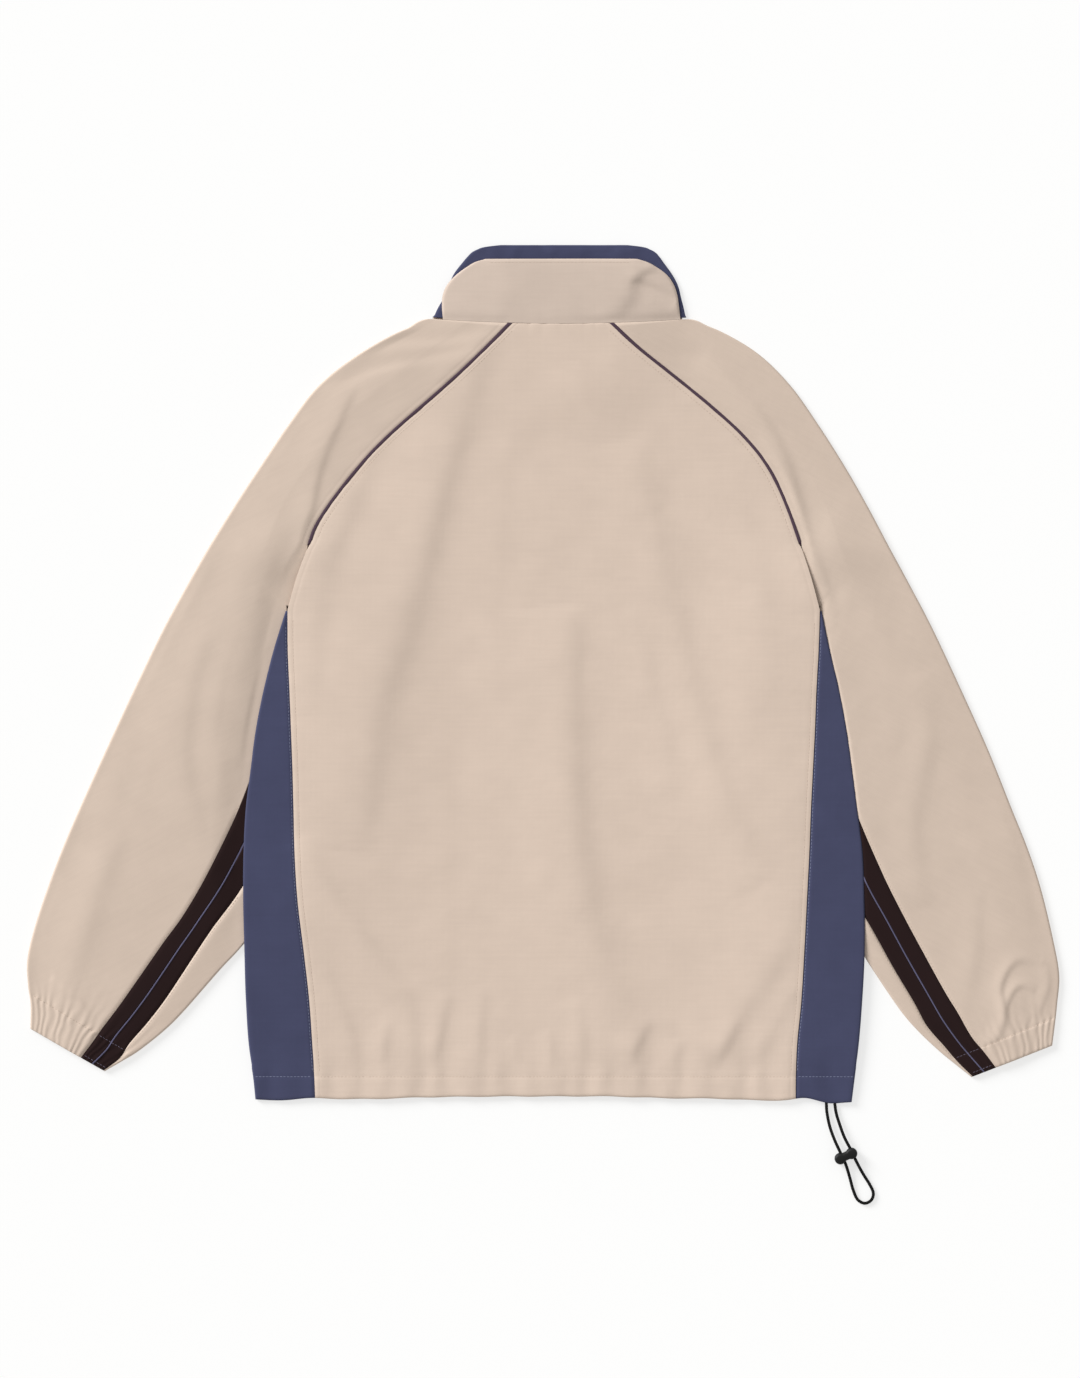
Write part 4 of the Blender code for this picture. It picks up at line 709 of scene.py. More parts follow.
def station_ends(side, station, front=False):
    """The outer and inner end of the line across the sleeve at a station. Past the underarm it
    climbs the raglan seam, and station UNDERARM + 1 is the neck."""
    if station <= UNDERARM:
        return arm_values(side, station)[:4].reshape(2, 2)
    share = station - UNDERARM
    level = UNDERARM_Y + (RAGLAN_TOP - UNDERARM_Y) * share
    outer = [read(SHOULDER, side + axis, share) for axis in ("_x", "_y")]
    away = beside_piping(level)
    if front:
        level, away = front_level(level), 0.0
    if share > 0.93:
        outer[1] += (neck_y(outer[0]) - 0.3 - outer[1]) * (share - 0.93) / 0.07
    return np.array([outer, [sleeve_seam_x(level, side, away), level]])


def arm_values(side, station):
    rows = ARMS[side]
    return smooth_curve(np.arange(len(rows)), rows, np.array([station]))[0]


def stripe_ends(side, station):
    return arm_values(side, min(station, UNDERARM))[4:]


def sleeve_width(side, station):
    outer, inner = station_ends(side, station)
    return np.linalg.norm(inner - outer)


def across_sleeve(side, station, shares):
    outer, inner = station_ends(side, station)
    return outer + (inner - outer) * np.asarray(shares)[..., None]


def body_outline(side):
    levels = np.linspace(PIPING_END_Y, UNDERARM_Y, 8)
    upper = np.stack([raglan_x(levels, side), levels], axis=1)
    levels = np.linspace(UNDERARM_Y - 5, BODY_BOTTOM, 40)
    return np.vstack([upper, np.stack([fold_x(levels, side), levels], axis=1)])


def raglan_line(side):
    levels = np.linspace(UNDERARM_Y, RAGLAN_TOP, 30)
    return np.stack([raglan_x(levels, side), levels], axis=1)


BODY_OUTLINE = {side: body_outline(side) for side in OUTWARD}
RAGLAN_LINE = {side: raglan_line(side) for side in OUTWARD}


def sleeve_gap(side, x, y, depth):
    """Free height inside the sleeve, from the depth to its nearer folded edge and the body."""
    outline = BODY_OUTLINE[side]
    away, _ = distance_to_line(x, y, outline)
    edge_x = np.interp(y, outline[::-1, 1], outline[::-1, 0])
    under = (OUTWARD[side] * (x - edge_x) < 0) & (y < PIPING_END_Y)
    away = np.where(under, -away, away)
    free = SLEEVE_GAP_EDGE + (SLEEVE_GAP_BELLY - SLEEVE_GAP_EDGE) * ease((depth - 3) / 45)
    near_seam, _ = distance_to_line(x, y, RAGLAN_LINE[side])
    seamed = ease((y - 125) / 35) * (1 - ease(near_seam / 75))
    free = free + (BODY_GAP_MIDDLE - free) * seamed
    low = 1 - ease((y - 85) / 60)
    if side == "left":
        pressed = (1 - ease((away - 0.5) / 30)) * low
    else:       # this sleeve puffs up beside the body
        free = free + 1.3 * np.exp(-((np.maximum(away, 0) / 28) ** 1.5)) * low * ease(depth / 20)
        pressed = (1 - ease((away + 2.3) / 3)) * low
    return free + (SLEEVE_GAP_HIDDEN - free) * pressed


def looseness(gap):
    """1 where the sleeve's top is free to crease, 0 where the body presses it flat."""
    return ease((gap - SLEEVE_GAP_HIDDEN - 0.2) / 0.6)


def sleeve_cover(side, x, y, depth):
    """Height of a sleeve's top layer with its creases, at a depth from its edges."""
    gap = sleeve_gap(side, x, y, depth)
    loose = looseness(gap) * ease(depth / 12)
    creases = (fold_height(x, y, SLEEVE_FOLDS) + crumple(x, y + 900)) * loose
    beside_back = lift(x, y, BACK_RAMP) * ease((y - 75) / 45) + slider_lift(x, y, BACK_SPREAD)
    return 2 * CLOTH + gap + creases + beside_back


def gather(side, share, station):
    """The elastic cuff's uneven gathers, sharpest at the casing's stitch line."""
    above = station - CUFF_STATION[side]
    drift = 0.016 * np.sin(9 * share) + 0.009 * np.sin(31 * share + 2)
    drift = drift + 0.02 * noise(share * 12, station * 2.2, 1.0, 32)
    wave = np.sin(math.tau * CUFF_GATHERS * (share + drift))
    wave = np.sign(wave) * np.abs(wave) ** 0.85
    size = 0.75 + 0.35 * noise(share * 14.7, station, 1.0, 31)
    if above > 0:
        reach = np.exp(-above / (0.5 + 0.25 * noise(share * 9, 0, 1.0, 33)))
    else:
        reach = 0.7 + 0.3 * math.exp(above / 0.3)
    return 0.42 * wave * size * reach - 0.18 * bell(above, 0.055)


def sleeve_points(side, station, share, on_top):
    """Outer and inner points of the sleeve's wall at shares across a station, on its top or
    its under layer, and how loose it is."""
    ends = station_ends(side, station, front=not on_top)
    across = ends[1] - ends[0]
    width = np.linalg.norm(across)
    plan = ends[0] + across * share[:, None]
    if on_top and station > UNDERARM + 0.8:     # bend the last rows along the neck seam
        first, last = station_ends(side, UNDERARM + 1)
        straight = first[1] + (plan[:, 0] - first[0]) * (last[1] - first[1]) / (last[0] - first[0])
        bend = np.clip(neck_y(plan[:, 0]) - 0.12 - straight, -3, 3)
        plan[:, 1] += bend * ease((station - UNDERARM - 0.8) / 0.2)
    x, y = plan[:, 0], plan[:, 1]
    near_outer = share < 0.5
    depth = np.minimum(share, 1 - share) * width
    gap = sleeve_gap(side, x, y, depth)
    edge_gap = [sleeve_gap(side, *end, 0.0) for end in ends]
    radius = CLOTH + np.where(near_outer, *edge_gap) / 2
    cosine, sine = folded_edge(depth, radius)
    if station > UNDERARM:
        cosine, sine = np.where(near_outer, cosine, 0.0), np.where(near_outer, sine, 1.0)
    inward = np.where(near_outer, 1.0, -1.0)[:, None] * across / width
    inside_plan = plan + inward * (CLOTH * cosine)[:, None]
    if on_top:
        casing = 0.3 * ease((CUFF_STATION[side] + 0.08 - station) / 0.16)
        full = sleeve_cover(side, x, y, depth) + casing
        if station > UNDERARM:
            to_seam, _ = distance_to_line(x, y, RAGLAN_LINE[side])
            up = ease((y - 112) / 8)
            seam = 0.4 * seam_roll(to_seam - 1) + 0.5 * stitch_line(to_seam, RAGLAN_STITCH)
            full = full + seam * up
            full = full + pucker(y, to_seam, 40) * up
        height = radius + (full - radius) * sine
        inside = radius + (np.minimum(full - CLOTH, 2 * CLOTH + gap) - radius) * sine
    else:
        height = radius - radius * sine
        inside = radius - (radius - CLOTH) * sine
    outer, inner = np.column_stack([plan, height]), np.column_stack([inside_plan, inside])
    return outer, inner, looseness(gap)


def sleeve_row(side, station, share, on_top, proud=0.0):
    """A row of a wall across the sleeve, `proud` above its cloth."""
    top = sleeve_points(side, station, share, True)
    under = sleeve_points(side, station, share, False)
    outer = np.where(on_top[:, None], top[0], under[0])
    inner = np.where(on_top[:, None], top[1], under[1])
    width = sleeve_width(side, station)
    depth = np.minimum(share, 1 - share) * width
    fine = gather(side, share, station) * ease(depth / 4) if station < 5 else 0.0
    if station <= UNDERARM:
        for edge in stripe_ends(side, station):
            away = (share - edge) * width
            fine = fine + (seam_roll(away) * 0.8 + stitch_line(away, STRIPE_STITCH)) * top[2]
    outer[:, 2] += np.where(on_top, fine, 0) + proud * top[2]
    hem = 1.3 * (1 - math.sqrt(1 - (1 - min(station / 0.12, 1)) ** 2))
    outer[:, 2] -= np.where(on_top, hem, 0)
    inner[:, 2] = np.where(on_top, np.minimum(inner[:, 2], outer[:, 2] - 0.4), inner[:, 2])
    return outer, inner


def arm_stations(side):
    """Stations at even distances along the sleeve, and close together at the cuff."""
    keys = np.linspace(0, UNDERARM, 400)
    length = path_length(np.array([sum(station_ends(side, key)) / 2 for key in keys]))
    line = CUFF_STATION[side]
    around = (-0.12, -0.06, -0.025, 0.0, 0.025, 0.06, 0.12, 0.24, 0.38, 0.54)
    cuff = [0.0, 0.02, 0.05, 0.1, 0.18, *np.arange(0.3, line - 0.15, 0.15)]
    cuff += [line + part for part in around]
    start = np.interp(line + 0.7, keys, length)
    fine = np.arange(start, start + 60, 0.6 * STEP)
    coarse = np.arange(fine[-1] + STEP, length[-1], STEP)
    rest = np.interp(np.concatenate([fine, coarse]), length, keys)
    return np.concatenate([cuff, rest[:-1], [UNDERARM]])


def sleeve(side):
    """One piece from the stripe's outer edge over the top, round the outer fold, under to the
    inner fold or the raglan seam, and on to the stripe's inner edge."""
    main, sliver = [], []
    for station in np.concatenate([arm_stations(side), UNDERARM + np.linspace(0, 1, 78)[1:]]):
        width = sleeve_width(side, station)
        unit = 2.2 / width
        stripe = stripe_ends(side, station)
        end = stripe[0] - SEAM / 2 / width if station <= UNDERARM else 1.0
        top_end = np.array([4.0, 2.6, 1.6, 0.9, 0.4, 0.0]) / width
        inside = np.linspace(1 - unit, unit, 20)[1:-1]
        under = np.concatenate([1 - unit * TURN, inside, unit * TURN[::-1]])
        inside = np.linspace(unit, end - top_end[0], 68)[1:]
        share = np.concatenate([under, unit * TURN[1:], inside, end - top_end[1:]])
        on_top = np.arange(len(share)) >= len(under)
        main.append(sleeve_row(side, station, share, on_top))
        if station <= UNDERARM:
            reach = 1 - stripe[1] - SEAM / 2 / width
            unit = min(unit, reach / 2)
            inside = np.linspace(reach, unit, 10)[:-1]
            share = 1 - np.concatenate([inside, unit * TURN[::-1]])
            on_top = np.arange(len(share)) < len(share) - 1
            sliver.append(sleeve_row(side, station, share, on_top))
    shell("sleeve_" + side, main, CLOTH_SLEEVE[side], sliver)


def strip(name, side, start, end, spans, colour, profile=0.0):
    """A strip of the sleeve's top between two parts of the stripe."""
    rows = []
    for station in arm_stations(side):
        width = sleeve_width(side, station)
        first, last = stripe_ends(side, station)
        edges = [first + (last - first) * part + margin / width for part, margin in (start, end)]
        if station > UNDERARM - 2:
            squeezed = min(1.0, (last - first) * width / 14)
            middle = sum(edges) / 2
            edges = [middle + (edge - middle) * squeezed for edge in edges]
        share = np.linspace(*edges, spans + 1)
        rows.append(sleeve_row(side, station, share, np.full(len(share), True), profile))
    shell(name + side, rows, colour)


def stripe(side):
    half = STRIPE_PIPING_WIDTH / 2 - 0.1
    strip("stripe_outer_", side, (0.0, SEAM / 2), (0.5, -half), 14, CLOTH_STRIPE)
    strip("stripe_inner_", side, (0.5, half), (1.0, -SEAM / 2), 14, CLOTH_STRIPE)
    crown = 0.55 * np.sqrt(1 - np.linspace(-0.95, 0.95, 7) ** 2)
    strip("stripe_piping_", side, (0.5, -half), (0.5, half), 6, CLOTH_STRIPE_PIPING, crown)


def raglan_piping(side):
    """Round piping that stands in the raglan seam, from the rolled edge to the neck."""
    rows = []
    parts = np.cos(np.radians(np.linspace(180, 0, 11)))
    crown = 0.5 * np.sqrt(np.clip(1 - parts**2, 0, 1))
    for level in np.concatenate([np.arange(PIPING_END_Y - 2, NECK_Y - 1, 2.4), [RAGLAN_TOP]]):
        x = raglan_x(level, side, parts * (PIPING_WIDTH / 2 + 0.1))
        y = np.full(len(x), level) + (neck_y(x) - NECK_Y) * ease((level - NECK_Y + 12) / 12)
        beside = raglan_x(level, side, -PIPING_WIDTH)
        height = back_top(beside, level) - 0.2 + 0.12 * noise(level, 0.0, 5.0, 50)
        height -= 2.0 * ease((PIPING_END_Y + 2 - level) / 4)
        rows.append(flat_row(x, y, height - 0.1 + crown, np.full(len(x), height - CLOTH)))
    shell("raglan_piping_" + side, rows, CLOTH_PIPING)


# ---- collar

def neck_height(x):
    """Height of the back's and the sleeves' cloth just below the neck seam."""
    y = neck_y(x) - 1.5
    height = back_top(x, y)
    for side, out in OUTWARD.items():
        past = out * (x - raglan_x(NECK_Y, side))
        depth = np.clip(np.minimum(past, out * (SHOULDER[side + "_x"][-1] - x)), 0, None)
        height = height + (sleeve_cover(side, x, y, depth) - height) * ease(past / 2)
    return height


def across_collar(layer, level):
    """Points across a layer of the collar, and their distance from its ends."""
    left, right = (read(COLLAR, f"{layer}_{side}", level) for side in OUTWARD)
    x = spaced(left, right, 60)
    return x, np.minimum(x - left, right - x)


def collar_back():
    low_levels, top_levels = [320.44, 320.9, 321.6, 322.6, 324.0], [377.0, 378.2, 379.2, 379.7]
    levels = [*low_levels, *np.arange(326, 376, 2.6), *top_levels, COLLAR_BACK_TOP]
    rows = []
    for level in levels:
        x, edge = across_collar("back", level)
        above, below = COLLAR_BACK_TOP - level, level - levels[0]
        y = level + (neck_y(x) - NECK_Y) * (1 - below / (COLLAR_BACK_TOP - levels[0]))
        low = 2 * CLOTH + 1.0 + slider_lift(x, y, BACK_SPREAD) + 0.35 * ease(edge / 30)
        fine = fold_height(x, y, COLLAR_FOLDS) * ease(edge / 3)
        fine = fine + 0.5 * crumple(x, y + 300) * ease(edge / 6)
        roll = -0.9 * bell(np.minimum(above, edge), 1.2)
        stitches = stitch_line(above, COLLAR_STITCH) + pucker(x, below, 24)
        z = np.maximum(low + CLOTH + 0.5 + fine + roll + stitches, low + 0.5)
        z = z + (neck_height(x) - z) * (1 - ease(below / 9))
        rows.append(flat_row(x, y, z, low))
    shell("collar_back", rows, CLOTH_COLLAR)


def collar_facing():
    """The contrast lining of the collar, which shows above the outer cloth."""
    rows = []
    for level in [FACING_LOW, *np.arange(325, 384, 4), *np.linspace(385, 393, 12)]:
        x, edge = across_collar("facing", level)
        dip = np.clip((x - NECK_MIDDLE_X) / 70, -1, 1)
        bottom = neck_y(x) + 1.5 + (FACING_BOTTOM - NECK_Y) * (1 - dip**2)
        y = np.maximum(level, bottom + (level - FACING_LOW) * 0.35)
        edge = np.minimum(edge, FACING_TOP - level)
        low = CLOTH + 0.5 + slider_lift(x, y) * 0.8
        fine = 0.5 * noise(x, y, 9, 60) * ease((y - 379) / 3)
        fine = fine + stitch_line(FACING_TOP - 0.2 - y, 2.6) * 1.2
        z = low + CLOTH + fine - 0.8 * bell(edge, 1.3)
        rows.append(flat_row(x, y, z, low))
    shell("collar_facing", rows, CLOTH_BLUE)


def collar_front(side):
    out = OUTWARD[side]
    shares = np.linspace(0, 1, 33)
    top_x = SHOULDER[side + "_x"][-1] - out * 2.5
    seam_top = np.array([top_x, neck_y(top_x) + 0.3])
    zip_x = NECK_MIDDLE_X + out * ZIP_GAP / 2
    low = np.stack(front_neckline(1 - np.linspace(0, 1, 25), side), axis=1)
    low = np.vstack([low, np.linspace(low[-1], seam_top, 9)[1:]])
    side_x = read(COLLAR, "facing_" + side, COLLAR_SIDE_TOP)
    high = np.stack([
        zip_x + (side_x - out * 4.0 - zip_x) * shares,
        FRONT_COLLAR_TOP + (COLLAR_SIDE_TOP - FRONT_COLLAR_TOP) * shares**2,
    ], axis=1)
    rows = []
    for part in np.linspace(0, 1, 17):
        x, y = (low + (high - low) * part).T
        y = y + 0.3 * (1 - part)
        under = front_under(x, y)
        rows.append(flat_row(x, y, under, under + CLOTH))
    shell("collar_front_" + side, rows, CLOTH_BEIGE)


# ---- materials

WEAVE_SCALE = 1000 / 0.55 / 20 * 3.1416     # for threads 0.55 mm apart


class Nodes:
    """The nodes of a new material. The slot argument is not used."""

    def __init__(self, name, slot):
        self.material = bpy.data.materials.new(name)
        self.material.use_nodes = True
        self.tree = self.material.node_tree
        self.place = self.add("TexCoord", "Object", {})

    def fill(self, node, inputs):
        """Give a node's inputs numbers, or link them to other nodes' outputs."""
        for key, value in inputs.items():
            if isinstance(value, bpy.types.NodeSocket):
                self.tree.links.new(value, node.inputs[key])
            else:
                node.inputs[key].default_value = value

    def add(self, kind, output, inputs, **settings):
        node = self.tree.nodes.new("ShaderNode" + kind)
        for key, value in settings.items():
            setattr(node, key, value)
        self.fill(node, inputs)
        return node.outputs[output]

    def texture(self, kind, vector, scale, detail, distortion=0.0, **settings):
        inputs = {"Vector": vector, "Scale": scale, "Detail": detail, "Distortion": distortion}
        return self.add(kind, "Fac", inputs, **settings)

    def times(self, a, b):
        return self.add("Math", "Value", {0: a, 1: b}, operation="MULTIPLY")

    def spread(self, value, low, high, start=0.0, end=1.0):
        inputs = {"Value": value, "From Min": start, "From Max": end, "To Min": low, "To Max": high}
        return self.add("MapRange", "Result", inputs)

    def bump(self, height, strength, distance, **more):
        inputs = {"Height": height, "Strength": strength, "Distance": distance, **more}
        return self.add("Bump", "Normal", inputs)

    def shade(self, inputs):
        self.fill(self.tree.nodes["Principled BSDF"], inputs)
        return self.material


def cloth(name, colour, slot, turn=0.0, mottle=0.05):
    """Matte woven cloth: a fine weave with slubs, a little crinkle and uneven tone."""
    made = Nodes(name, slot)
    rotation = (0, 0, math.radians(turn))
    turned = made.add("Mapping", "Vector", {"Vector": made.place, "Rotation": rotation})
    weave = made.times(*(
        made.texture("TexWave", turned, WEAVE_SCALE, 1.0, 0.6, bands_direction=axis)
        for axis in "XY"
    ))
    stretched = made.add("Mapping", "Vector", {"Vector": turned, "Scale": (0.07, 1, 1)})
    slubs = made.texture("TexNoise", stretched, 420.0, 2.0)
    uneven = made.texture("TexNoise", made.place, 38.0, 5.0)
    crinkle = made.texture("TexNoise", made.place, 150.0, 4.0)
    woven = made.times(made.spread(weave, 0.93, 1.04), made.spread(slubs, 0.984, 1.01, 0.3, 0.7))
    tone = made.times(made.spread(uneven, 1 - mottle, 1 + mottle), woven)
    tinted = made.add("VectorMath", "Vector", {0: colour, "Scale": tone}, operation="SCALE")
    return made.shade({
        "Base Color": tinted, "Roughness": 0.9, "Specular IOR Level": 0.1,
        "Sheen Weight": 0.04, "Sheen Roughness": 0.6,
        "Normal": made.bump(crinkle, 0.3, 0.0003, Normal=made.bump(weave, 0.35, 0.00012)),
    })


def hard(name, colour, roughness, metallic, slot):
    """Moulded plastic or satin metal with a fine surface grain."""
    made = Nodes(name, slot)
    grain = made.texture("TexNoise", made.place, 400.0, 3.0)
    return made.shade({
        "Base Color": (*colour, 1), "Metallic": metallic,
        "Specular IOR Level": 0.5 if metallic else 0.25,
        "Roughness": made.spread(grain, roughness - 0.07, roughness + 0.07),
        "Normal": made.bump(grain, 0.2, 0.0001),
    })


SLEEVE_BEIGE = (0.63, 0.512, 0.425)
CLOTH_BEIGE = cloth("beige_cloth", (0.67, 0.543, 0.452), "beige")
CLOTH_COLLAR = cloth("beige_cloth_collar", (0.607, 0.498, 0.422), "beige")
CLOTH_SLEEVE = {
    side: cloth("beige_cloth_" + side, SLEEVE_BEIGE, "beige", 28 * out)
    for side, out in OUTWARD.items()
}
CLOTH_BLUE = cloth("blue_cloth", (0.058, 0.063, 0.122), "blue", mottle=0.1)
CLOTH_STRIPE = cloth("stripe_cloth", (0.017, 0.007, 0.007), "stripe", 30, mottle=0.12)
CLOTH_STRIPE_PIPING = cloth("stripe_piping_cloth", (0.11, 0.103, 0.175), "stripe_piping", 30)
CLOTH_PIPING = cloth("raglan_piping_cloth", (0.078, 0.048, 0.068), "raglan_piping", 45)
ZIP_TAPE = cloth("zip_tape_cloth", (0.010, 0.010, 0.011), "zip_tape")
CORD_CLOTH = cloth("cord_cloth", (0.006, 0.006, 0.006), "cord", 20, mottle=0.2)
LOCK_PLASTIC = hard("lock_plastic_black", (0.006, 0.006, 0.006), 0.5, 0.0, "lock_plastic")
ZIP_TEETH = hard("zip_teeth_plastic", (0.012, 0.012, 0.013), 0.4, 0.0, "zip_tape")
ZIP_METAL = hard("zip_metal_satin", (0.45, 0.45, 0.46), 0.32, 1.0, "zip_metal")
THREAD_BEIGE = cloth("thread_beige", (0.60, 0.485, 0.40), "beige", 15)
THREAD_BLUE = cloth("thread_blue", (0.24, 0.26, 0.38), "blue", 15)
THREAD_DARK = cloth("thread_dark", (0.16, 0.14, 0.19), "stripe", 15)


# ---- the cloth pieces

back_panel()
for side in OUTWARD:
    for make in (side_panel, front_panel, sleeve, stripe, raglan_piping, collar_front):
        make(side)
collar_back()
collar_facing()


# ---- stitches

def cloth_tree():
    """The cloth pieces as one search tree."""
    points, faces = [], []
    for piece in PIECES.values():
        start = len(points)
        points += [vertex.co[:] for vertex in piece.data.vertices]
        faces += [[start + i for i in face.vertices] for face in piece.data.polygons]
    return BVHTree.FromPolygons(points, faces)


TREE = cloth_tree()
# What is sewn on each cloth piece. The stitches add themselves.
SEWN_ON = {"sleeve_" + side: [PIECES["raglan_piping_" + side]] for side in OUTWARD}
SEWN_ON |= {"stripe_outer_" + side: [PIECES["stripe_piping_" + side]] for side in OUTWARD}

# The rings of a stitch: where they are along it, how thick, and how far they sink in the cloth
STITCH_RINGS = np.array([
    (0.0, 0.25, 0.75), (0.12, 0.85, 0.05), (0.5, 1.0, 0.05), (0.88, 0.85, 0.05), (1.0, 0.25, 0.75),
])
RING = np.array([(math.cos(a), math.sin(a)) for a in np.arange(5) * math.tau / 5])
STITCH_FACES = [
    (i + j, i + 5 + j, i + 5 + (j + 1) % 5, i + (j + 1) % 5) for i in range(0, 20, 5)
    for j in range(5)
] + [(0, 1, 2, 3), (0, 3, 4), (23, 22, 21, 20), (24, 23, 20)]


def stitch_row(name, line_x, line_y, colour, sewn_to):
    """Stitches along a line in plan, half sunk in the cloth under them."""
    line = np.column_stack(np.broadcast_arrays(line_x, line_y))
    along = path_length(line)
    points, faces = [], []
    for start in np.arange(STITCH_PITCH / 2, along[-1] - STITCH_LENGTH, STITCH_PITCH):
        at = start + STITCH_RINGS[:, 0] * STITCH_LENGTH
        x, y = np.interp(at, along, line[:, 0]), np.interp(at, along, line[:, 1])
        above = np.column_stack([x, y, np.full(5, 50.0)]) + SHIFT
        hits = [TREE.ray_cast(Vector(spot * MM), Vector((0, 0, -1)))[0] for spot in above]
        if any(hit is None for hit in hits):
            continue
        z = np.array([hit.z for hit in hits]) / MM - STITCH_RINGS[:, 2] * THREAD_RADIUS
        across = np.array([y[0] - y[-1], x[-1] - x[0], 0.0]) / STITCH_LENGTH
        ring = RING[:, :1] * across + RING[:, 1:] * np.array([0, 0, 1.0])
        size = STITCH_RINGS[:, 1] * THREAD_RADIUS
        faces += [[len(points) + i for i in face] for face in STITCH_FACES]
        middles = np.column_stack([x, y, z])
        points.extend((middles[:, None] + size[:, None, None] * ring).reshape(-1, 3))
    piece = add_piece("stitches_" + name, np.array(points) + SHIFT, faces, colour, ending="")
    SEWN_ON.setdefault(sewn_to, []).append(piece)


def sleeve_stitches(side):
    line = CUFF_STATION[side]
    cuff = across_sleeve(side, line, np.linspace(0.03, stripe_ends(side, line)[0] - 0.01, 30))
    stitch_row("cuff_" + side, *cuff.T, THREAD_BEIGE, "sleeve_" + side)
    for label, station in (("cross", line), ("end", 0.2)):
        start, end = stripe_ends(side, station)
        row = across_sleeve(side, station, np.linspace(start + 0.004, end - 0.004, 16))
        stitch_row(f"stripe_{label}_{side}", *row.T, THREAD_DARK, "stripe_outer_" + side)
    for label, at, away in (("outer", 0, -STRIPE_STITCH), ("inner", 1, STRIPE_STITCH)):
        row = []
        for station in np.linspace(line + 0.1, 8, 90):
            share = stripe_ends(side, station)[at] + away / sleeve_width(side, station)
            point = across_sleeve(side, station, share)
            if OUTWARD[side] * (point[0] - fold_x(point[1], side)) > 3:
                row.append(point)
        stitch_row(f"stripe_{label}_{side}", *np.array(row).T, THREAD_BEIGE, "sleeve_" + side)


for side, out in OUTWARD.items():
    y = np.arange(HEM_STITCH_Y + 4, UNDERARM_Y - 6, 4.0)
    x = seam_x(y, side) - out * BEIGE_STITCH
    stitch_row("seam_beige_" + side, x, y, THREAD_BEIGE, "back_panel")
    y = y[fold_x(y, side) * out > seam_x(y, side) * out + 5]
    x = seam_x(y, side) + out * BLUE_STITCH
    stitch_row("seam_blue_" + side, x, y, THREAD_BLUE, "side_panel_" + side)
    y = np.arange(PIPING_END_Y + 4, NECK_Y - 4, 4.0)
    x = raglan_x(y, side, -RAGLAN_STITCH)
    stitch_row("raglan_" + side, x, y, THREAD_BEIGE, "back_panel")
    sleeve_stitches(side)
for name, start, end, y, colour, sewn_to in (
    ("hem_beige", -207, 231, HEM_STITCH_Y, THREAD_BEIGE, "back_panel"),
    ("hem_blue_left", -269, -211, HEM_STITCH_Y, THREAD_BLUE, "side_panel_left"),
    ("hem_blue_right", 233, 288, HEM_STITCH_Y, THREAD_BLUE, "side_panel_right"),
    ("collar", -50, 84, COLLAR_BACK_TOP - COLLAR_STITCH, THREAD_BEIGE, "collar_back"),
):
    stitch_row(name, np.arange(start, end, 3.0), y, colour, sewn_to)


# ---- drawcord, lock and zip

def cord_middle(count):
    """Evenly spaced points on the cord's middle, and its length."""
    dense = smooth_line(CORD_ROUTE, 40 * len(CORD_ROUTE))
    hidden = (0, CORD_HIDDEN, 0)
    dense = np.vstack([dense[0] + hidden, dense, dense[-1] + hidden])
    length = path_length(dense)
    at = np.linspace(0, length[-1], count)
    return np.stack([np.interp(at, length, axis) for axis in dense.T], axis=1), length[-1]


def drawcord():
    """A round braided cord: two sets of strands cross on its surface."""
    line, length = cord_middle(CORD_POINTS)
    tangent = np.gradient(line, axis=0)
    tangent /= np.linalg.norm(tangent, axis=1)[:, None]
    beside = np.cross(tangent, [0, 0, 1.0])
    beside /= np.linalg.norm(beside, axis=1)[:, None]
    up = np.cross(beside, tangent)
    angles = np.arange(CORD_SIDES) * math.tau / CORD_SIDES
    turn = np.linspace(0, length, len(line))[:, None] * math.tau / BRAID_TURN
    braid = np.abs(np.sin(2 * angles + turn)) ** 0.7 + np.abs(np.sin(2 * angles - turn)) ** 0.7
    radius = CORD_DIAMETER / 2 * (0.93 + 0.06 * braid)
    ring = np.cos(angles)[:, None] * beside[:, None] + np.sin(angles)[:, None] * up[:, None]
    points = (line[:, None] + radius[..., None] * ring).reshape(-1, 3)
    points[:, 2] = np.maximum(points[:, 2], 0.02)
    cap = [[0, i, i + 1, (i + 2) % CORD_SIDES] for i in range(1, CORD_SIDES - 1, 2)]
    last = len(points) - CORD_SIDES
    faces = np.concatenate([
        tube_faces(len(line), CORD_SIDES), np.array(cap)[:, ::-1], np.array(cap) + last,
    ])
    piece = add_piece("drawcord", points, faces[:, ::-1].tolist(), CORD_CLOTH, "drawcord")
    return piece, (line + SHIFT) * MM, length * MM


def lock_outline(count):
    """Half widths of the lock along its length: two round lobes and a waist."""
    u = LOCK_LENGTH / 2 * np.cos(np.linspace(0, math.pi, count))
    reach = LOCK_LENGTH / 2 - LOCK_LOBE
    lobe = np.sqrt(np.clip(LOCK_LOBE**2 - (np.abs(u) - reach) ** 2, 0, None))
    waist = LOCK_WAIST + 0.4 * (u / reach) ** 2
    return u, np.where(np.abs(u) < reach, np.minimum(np.maximum(lobe, waist), LOCK_LOBE), lobe)


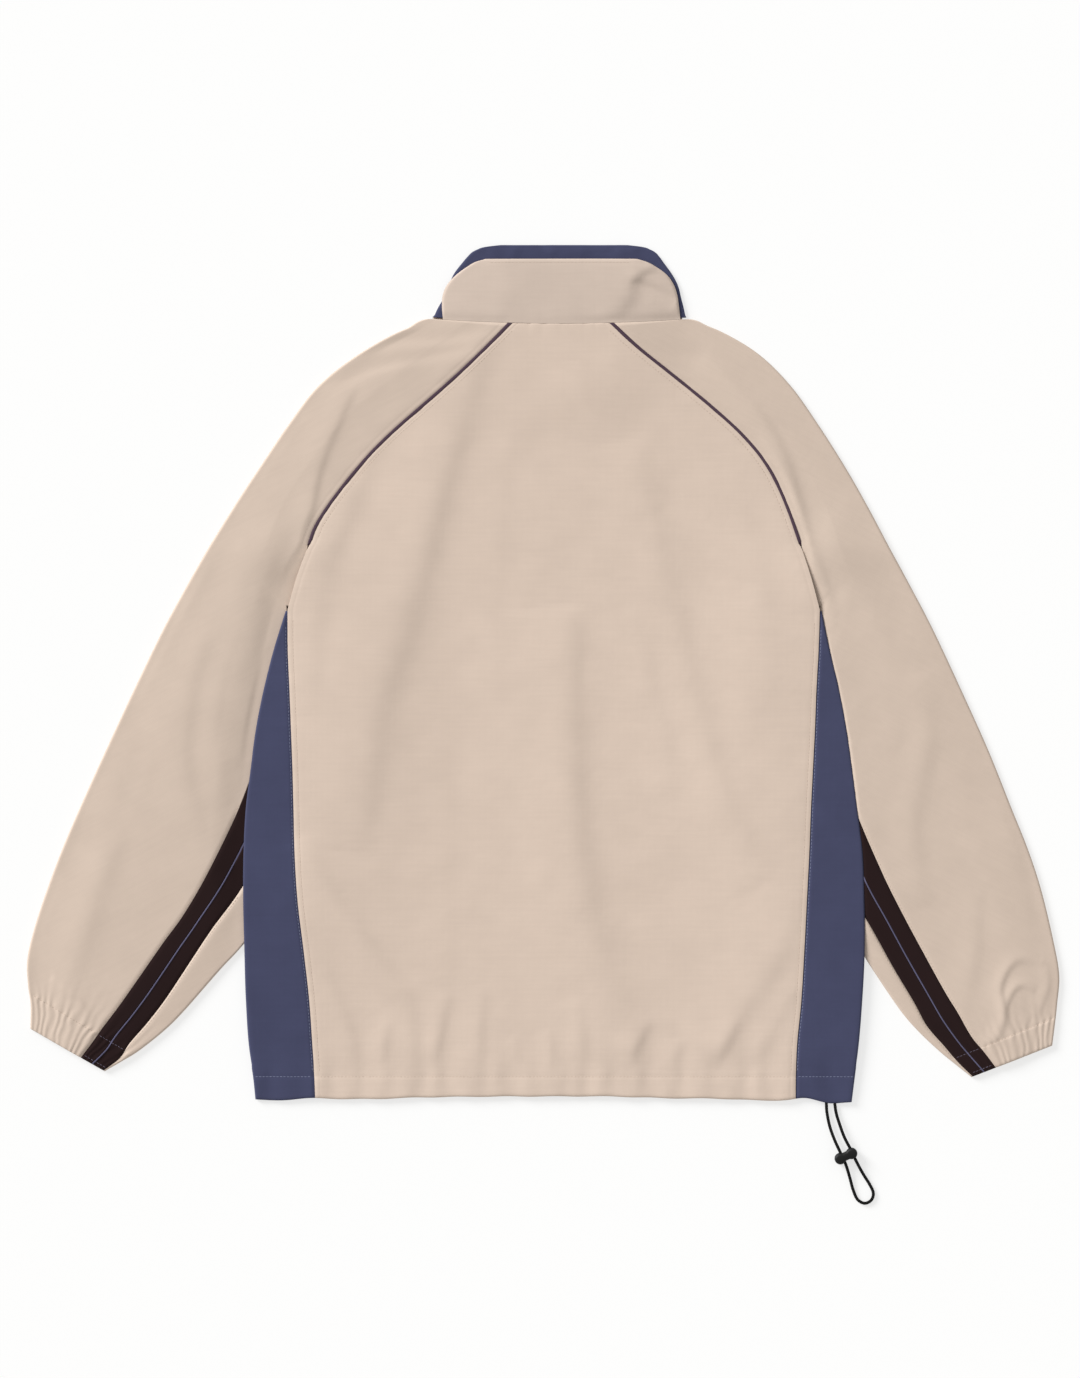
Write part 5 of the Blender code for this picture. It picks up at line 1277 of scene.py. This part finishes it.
def cord_lock():
    """A moulded barrel with two round ends."""
    tilt = math.radians(LOCK_TILT)
    u, half = lock_outline(LOCK_RINGS)
    half = np.maximum(half, 0.02)[:, None]
    angles = np.arange(LOCK_SIDES) * math.tau / LOCK_SIDES
    across, height = (
        np.sign(turn) * np.abs(turn) ** LOCK_SQUARENESS for turn in (np.cos(angles), np.sin(angles))
    )
    u, v = u[:, None], half * across
    flat = np.minimum(1.0, np.sqrt(half / LOCK_WAIST))
    x = LOCK_CENTRE[0] + u * math.cos(tilt) - v * math.sin(tilt)
    y = LOCK_CENTRE[1] + u * math.sin(tilt) + v * math.cos(tilt)
    z = LOCK_CENTRE[2] + LOCK_THICKNESS / 2 * 0.97 * flat * height
    points = np.stack([x, y, z], axis=2).reshape(-1, 3)
    faces = tube_faces(LOCK_RINGS, LOCK_SIDES).tolist()
    return add_piece("cord_lock", points, faces, LOCK_PLASTIC, "cord_lock")


def zip_teeth():
    """The closed chain's teeth, in two interlocking rows on the face that lies down."""
    levels = np.arange(*ZIP_LEVELS, TOOTH_PITCH / 2)
    out = np.where(np.arange(len(levels)) % 2, 1.0, -1.0)
    x = middle_x(levels)
    low = front_under(x, levels) + CLOTH + SEAM - CHAIN_DROP - TOOTH_PROUD
    corners = [
        (x + out * reach, levels + j * TOOTH_PITCH * 0.21 * (1 - 0.25 * k),
         low + (1 - k) * (TOOTH_PROUD + 0.1))
        for k in (0, 1) for j in (-1, 1) for reach in (-0.45, CHAIN_HALF)
    ]
    points = np.array(corners).transpose(2, 0, 1).reshape(-1, 3) + SHIFT
    quads = np.arange(len(levels))[:, None, None] * 8 + TOOTH_FACES
    quads = np.where((out < 0)[:, None, None], quads, quads[:, :, ::-1])
    piece = add_piece("zip_teeth", points, quads.reshape(-1, 4).tolist(), ZIP_TEETH)
    piece.data.shade_flat()


cord_piece, cord_line, cord_length = drawcord()
cord_lock()
zip_teeth()
for node, colour in (("zip", ZIP_TAPE), ("zip_slider", ZIP_METAL), ("zip_pull", ZIP_METAL)):
    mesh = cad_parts[node].data
    for index in range(len(mesh.materials)):
        mesh.materials[index] = colour


# ---- floor, light and camera

scene = bpy.context.scene


def place(name, data, location=(0, 0, 0)):
    placed = bpy.data.objects.new(name, data)
    placed.location = location
    scene.collection.objects.link(placed)
    return placed


def set_inputs(tree, node, **inputs):
    for key, value in inputs.items():
        tree.nodes[node].inputs[key.replace("_", " ")].default_value = value


mesh = bpy.data.meshes.new("floor")
mesh.from_pydata([(x, y, -0.0002) for x, y in ((-6, -6), (6, -6), (6, 6), (-6, 6))], [], [range(4)])
paper = bpy.data.materials.new("floor_paper")
paper.use_nodes = True
set_inputs(
    paper.node_tree, "Principled BSDF", Base_Color=(0.30, 0.30, 0.299, 1), Roughness=0.95,
    Emission_Color=(1, 1, 0.995, 1), Emission_Strength=0.66,
)
mesh.materials.append(paper)
place("floor", mesh)

scene.world = bpy.data.worlds.new("studio")
scene.world.use_nodes = True
set_inputs(scene.world.node_tree, "Background", Color=(1.0, 0.995, 0.985, 1), Strength=0.555)
scene.view_settings.view_transform = "Standard"

SUN_PLACE = (-2.7, 2.2, 1.6)            # soft light from the upper left
light = bpy.data.lights.new("key", "SUN")
light.energy = 3.75
light.angle = math.radians(24)
lamp = place("key", light, SUN_PLACE)
lamp.rotation_euler = (-Vector(SUN_PLACE)).to_track_quat("-Z", "Y").to_euler()

DISTANCE, VIEW_HEIGHT, SENSOR = 4.2, 1.2678, 24.0
lens = bpy.data.cameras.new("camera")
lens.sensor_fit = "VERTICAL"
lens.sensor_height = SENSOR
lens.lens = SENSOR * DISTANCE / VIEW_HEIGHT
lens.clip_end = 50.0
scene.camera = place("camera", lens, (-0.00295, -0.01403, DISTANCE))
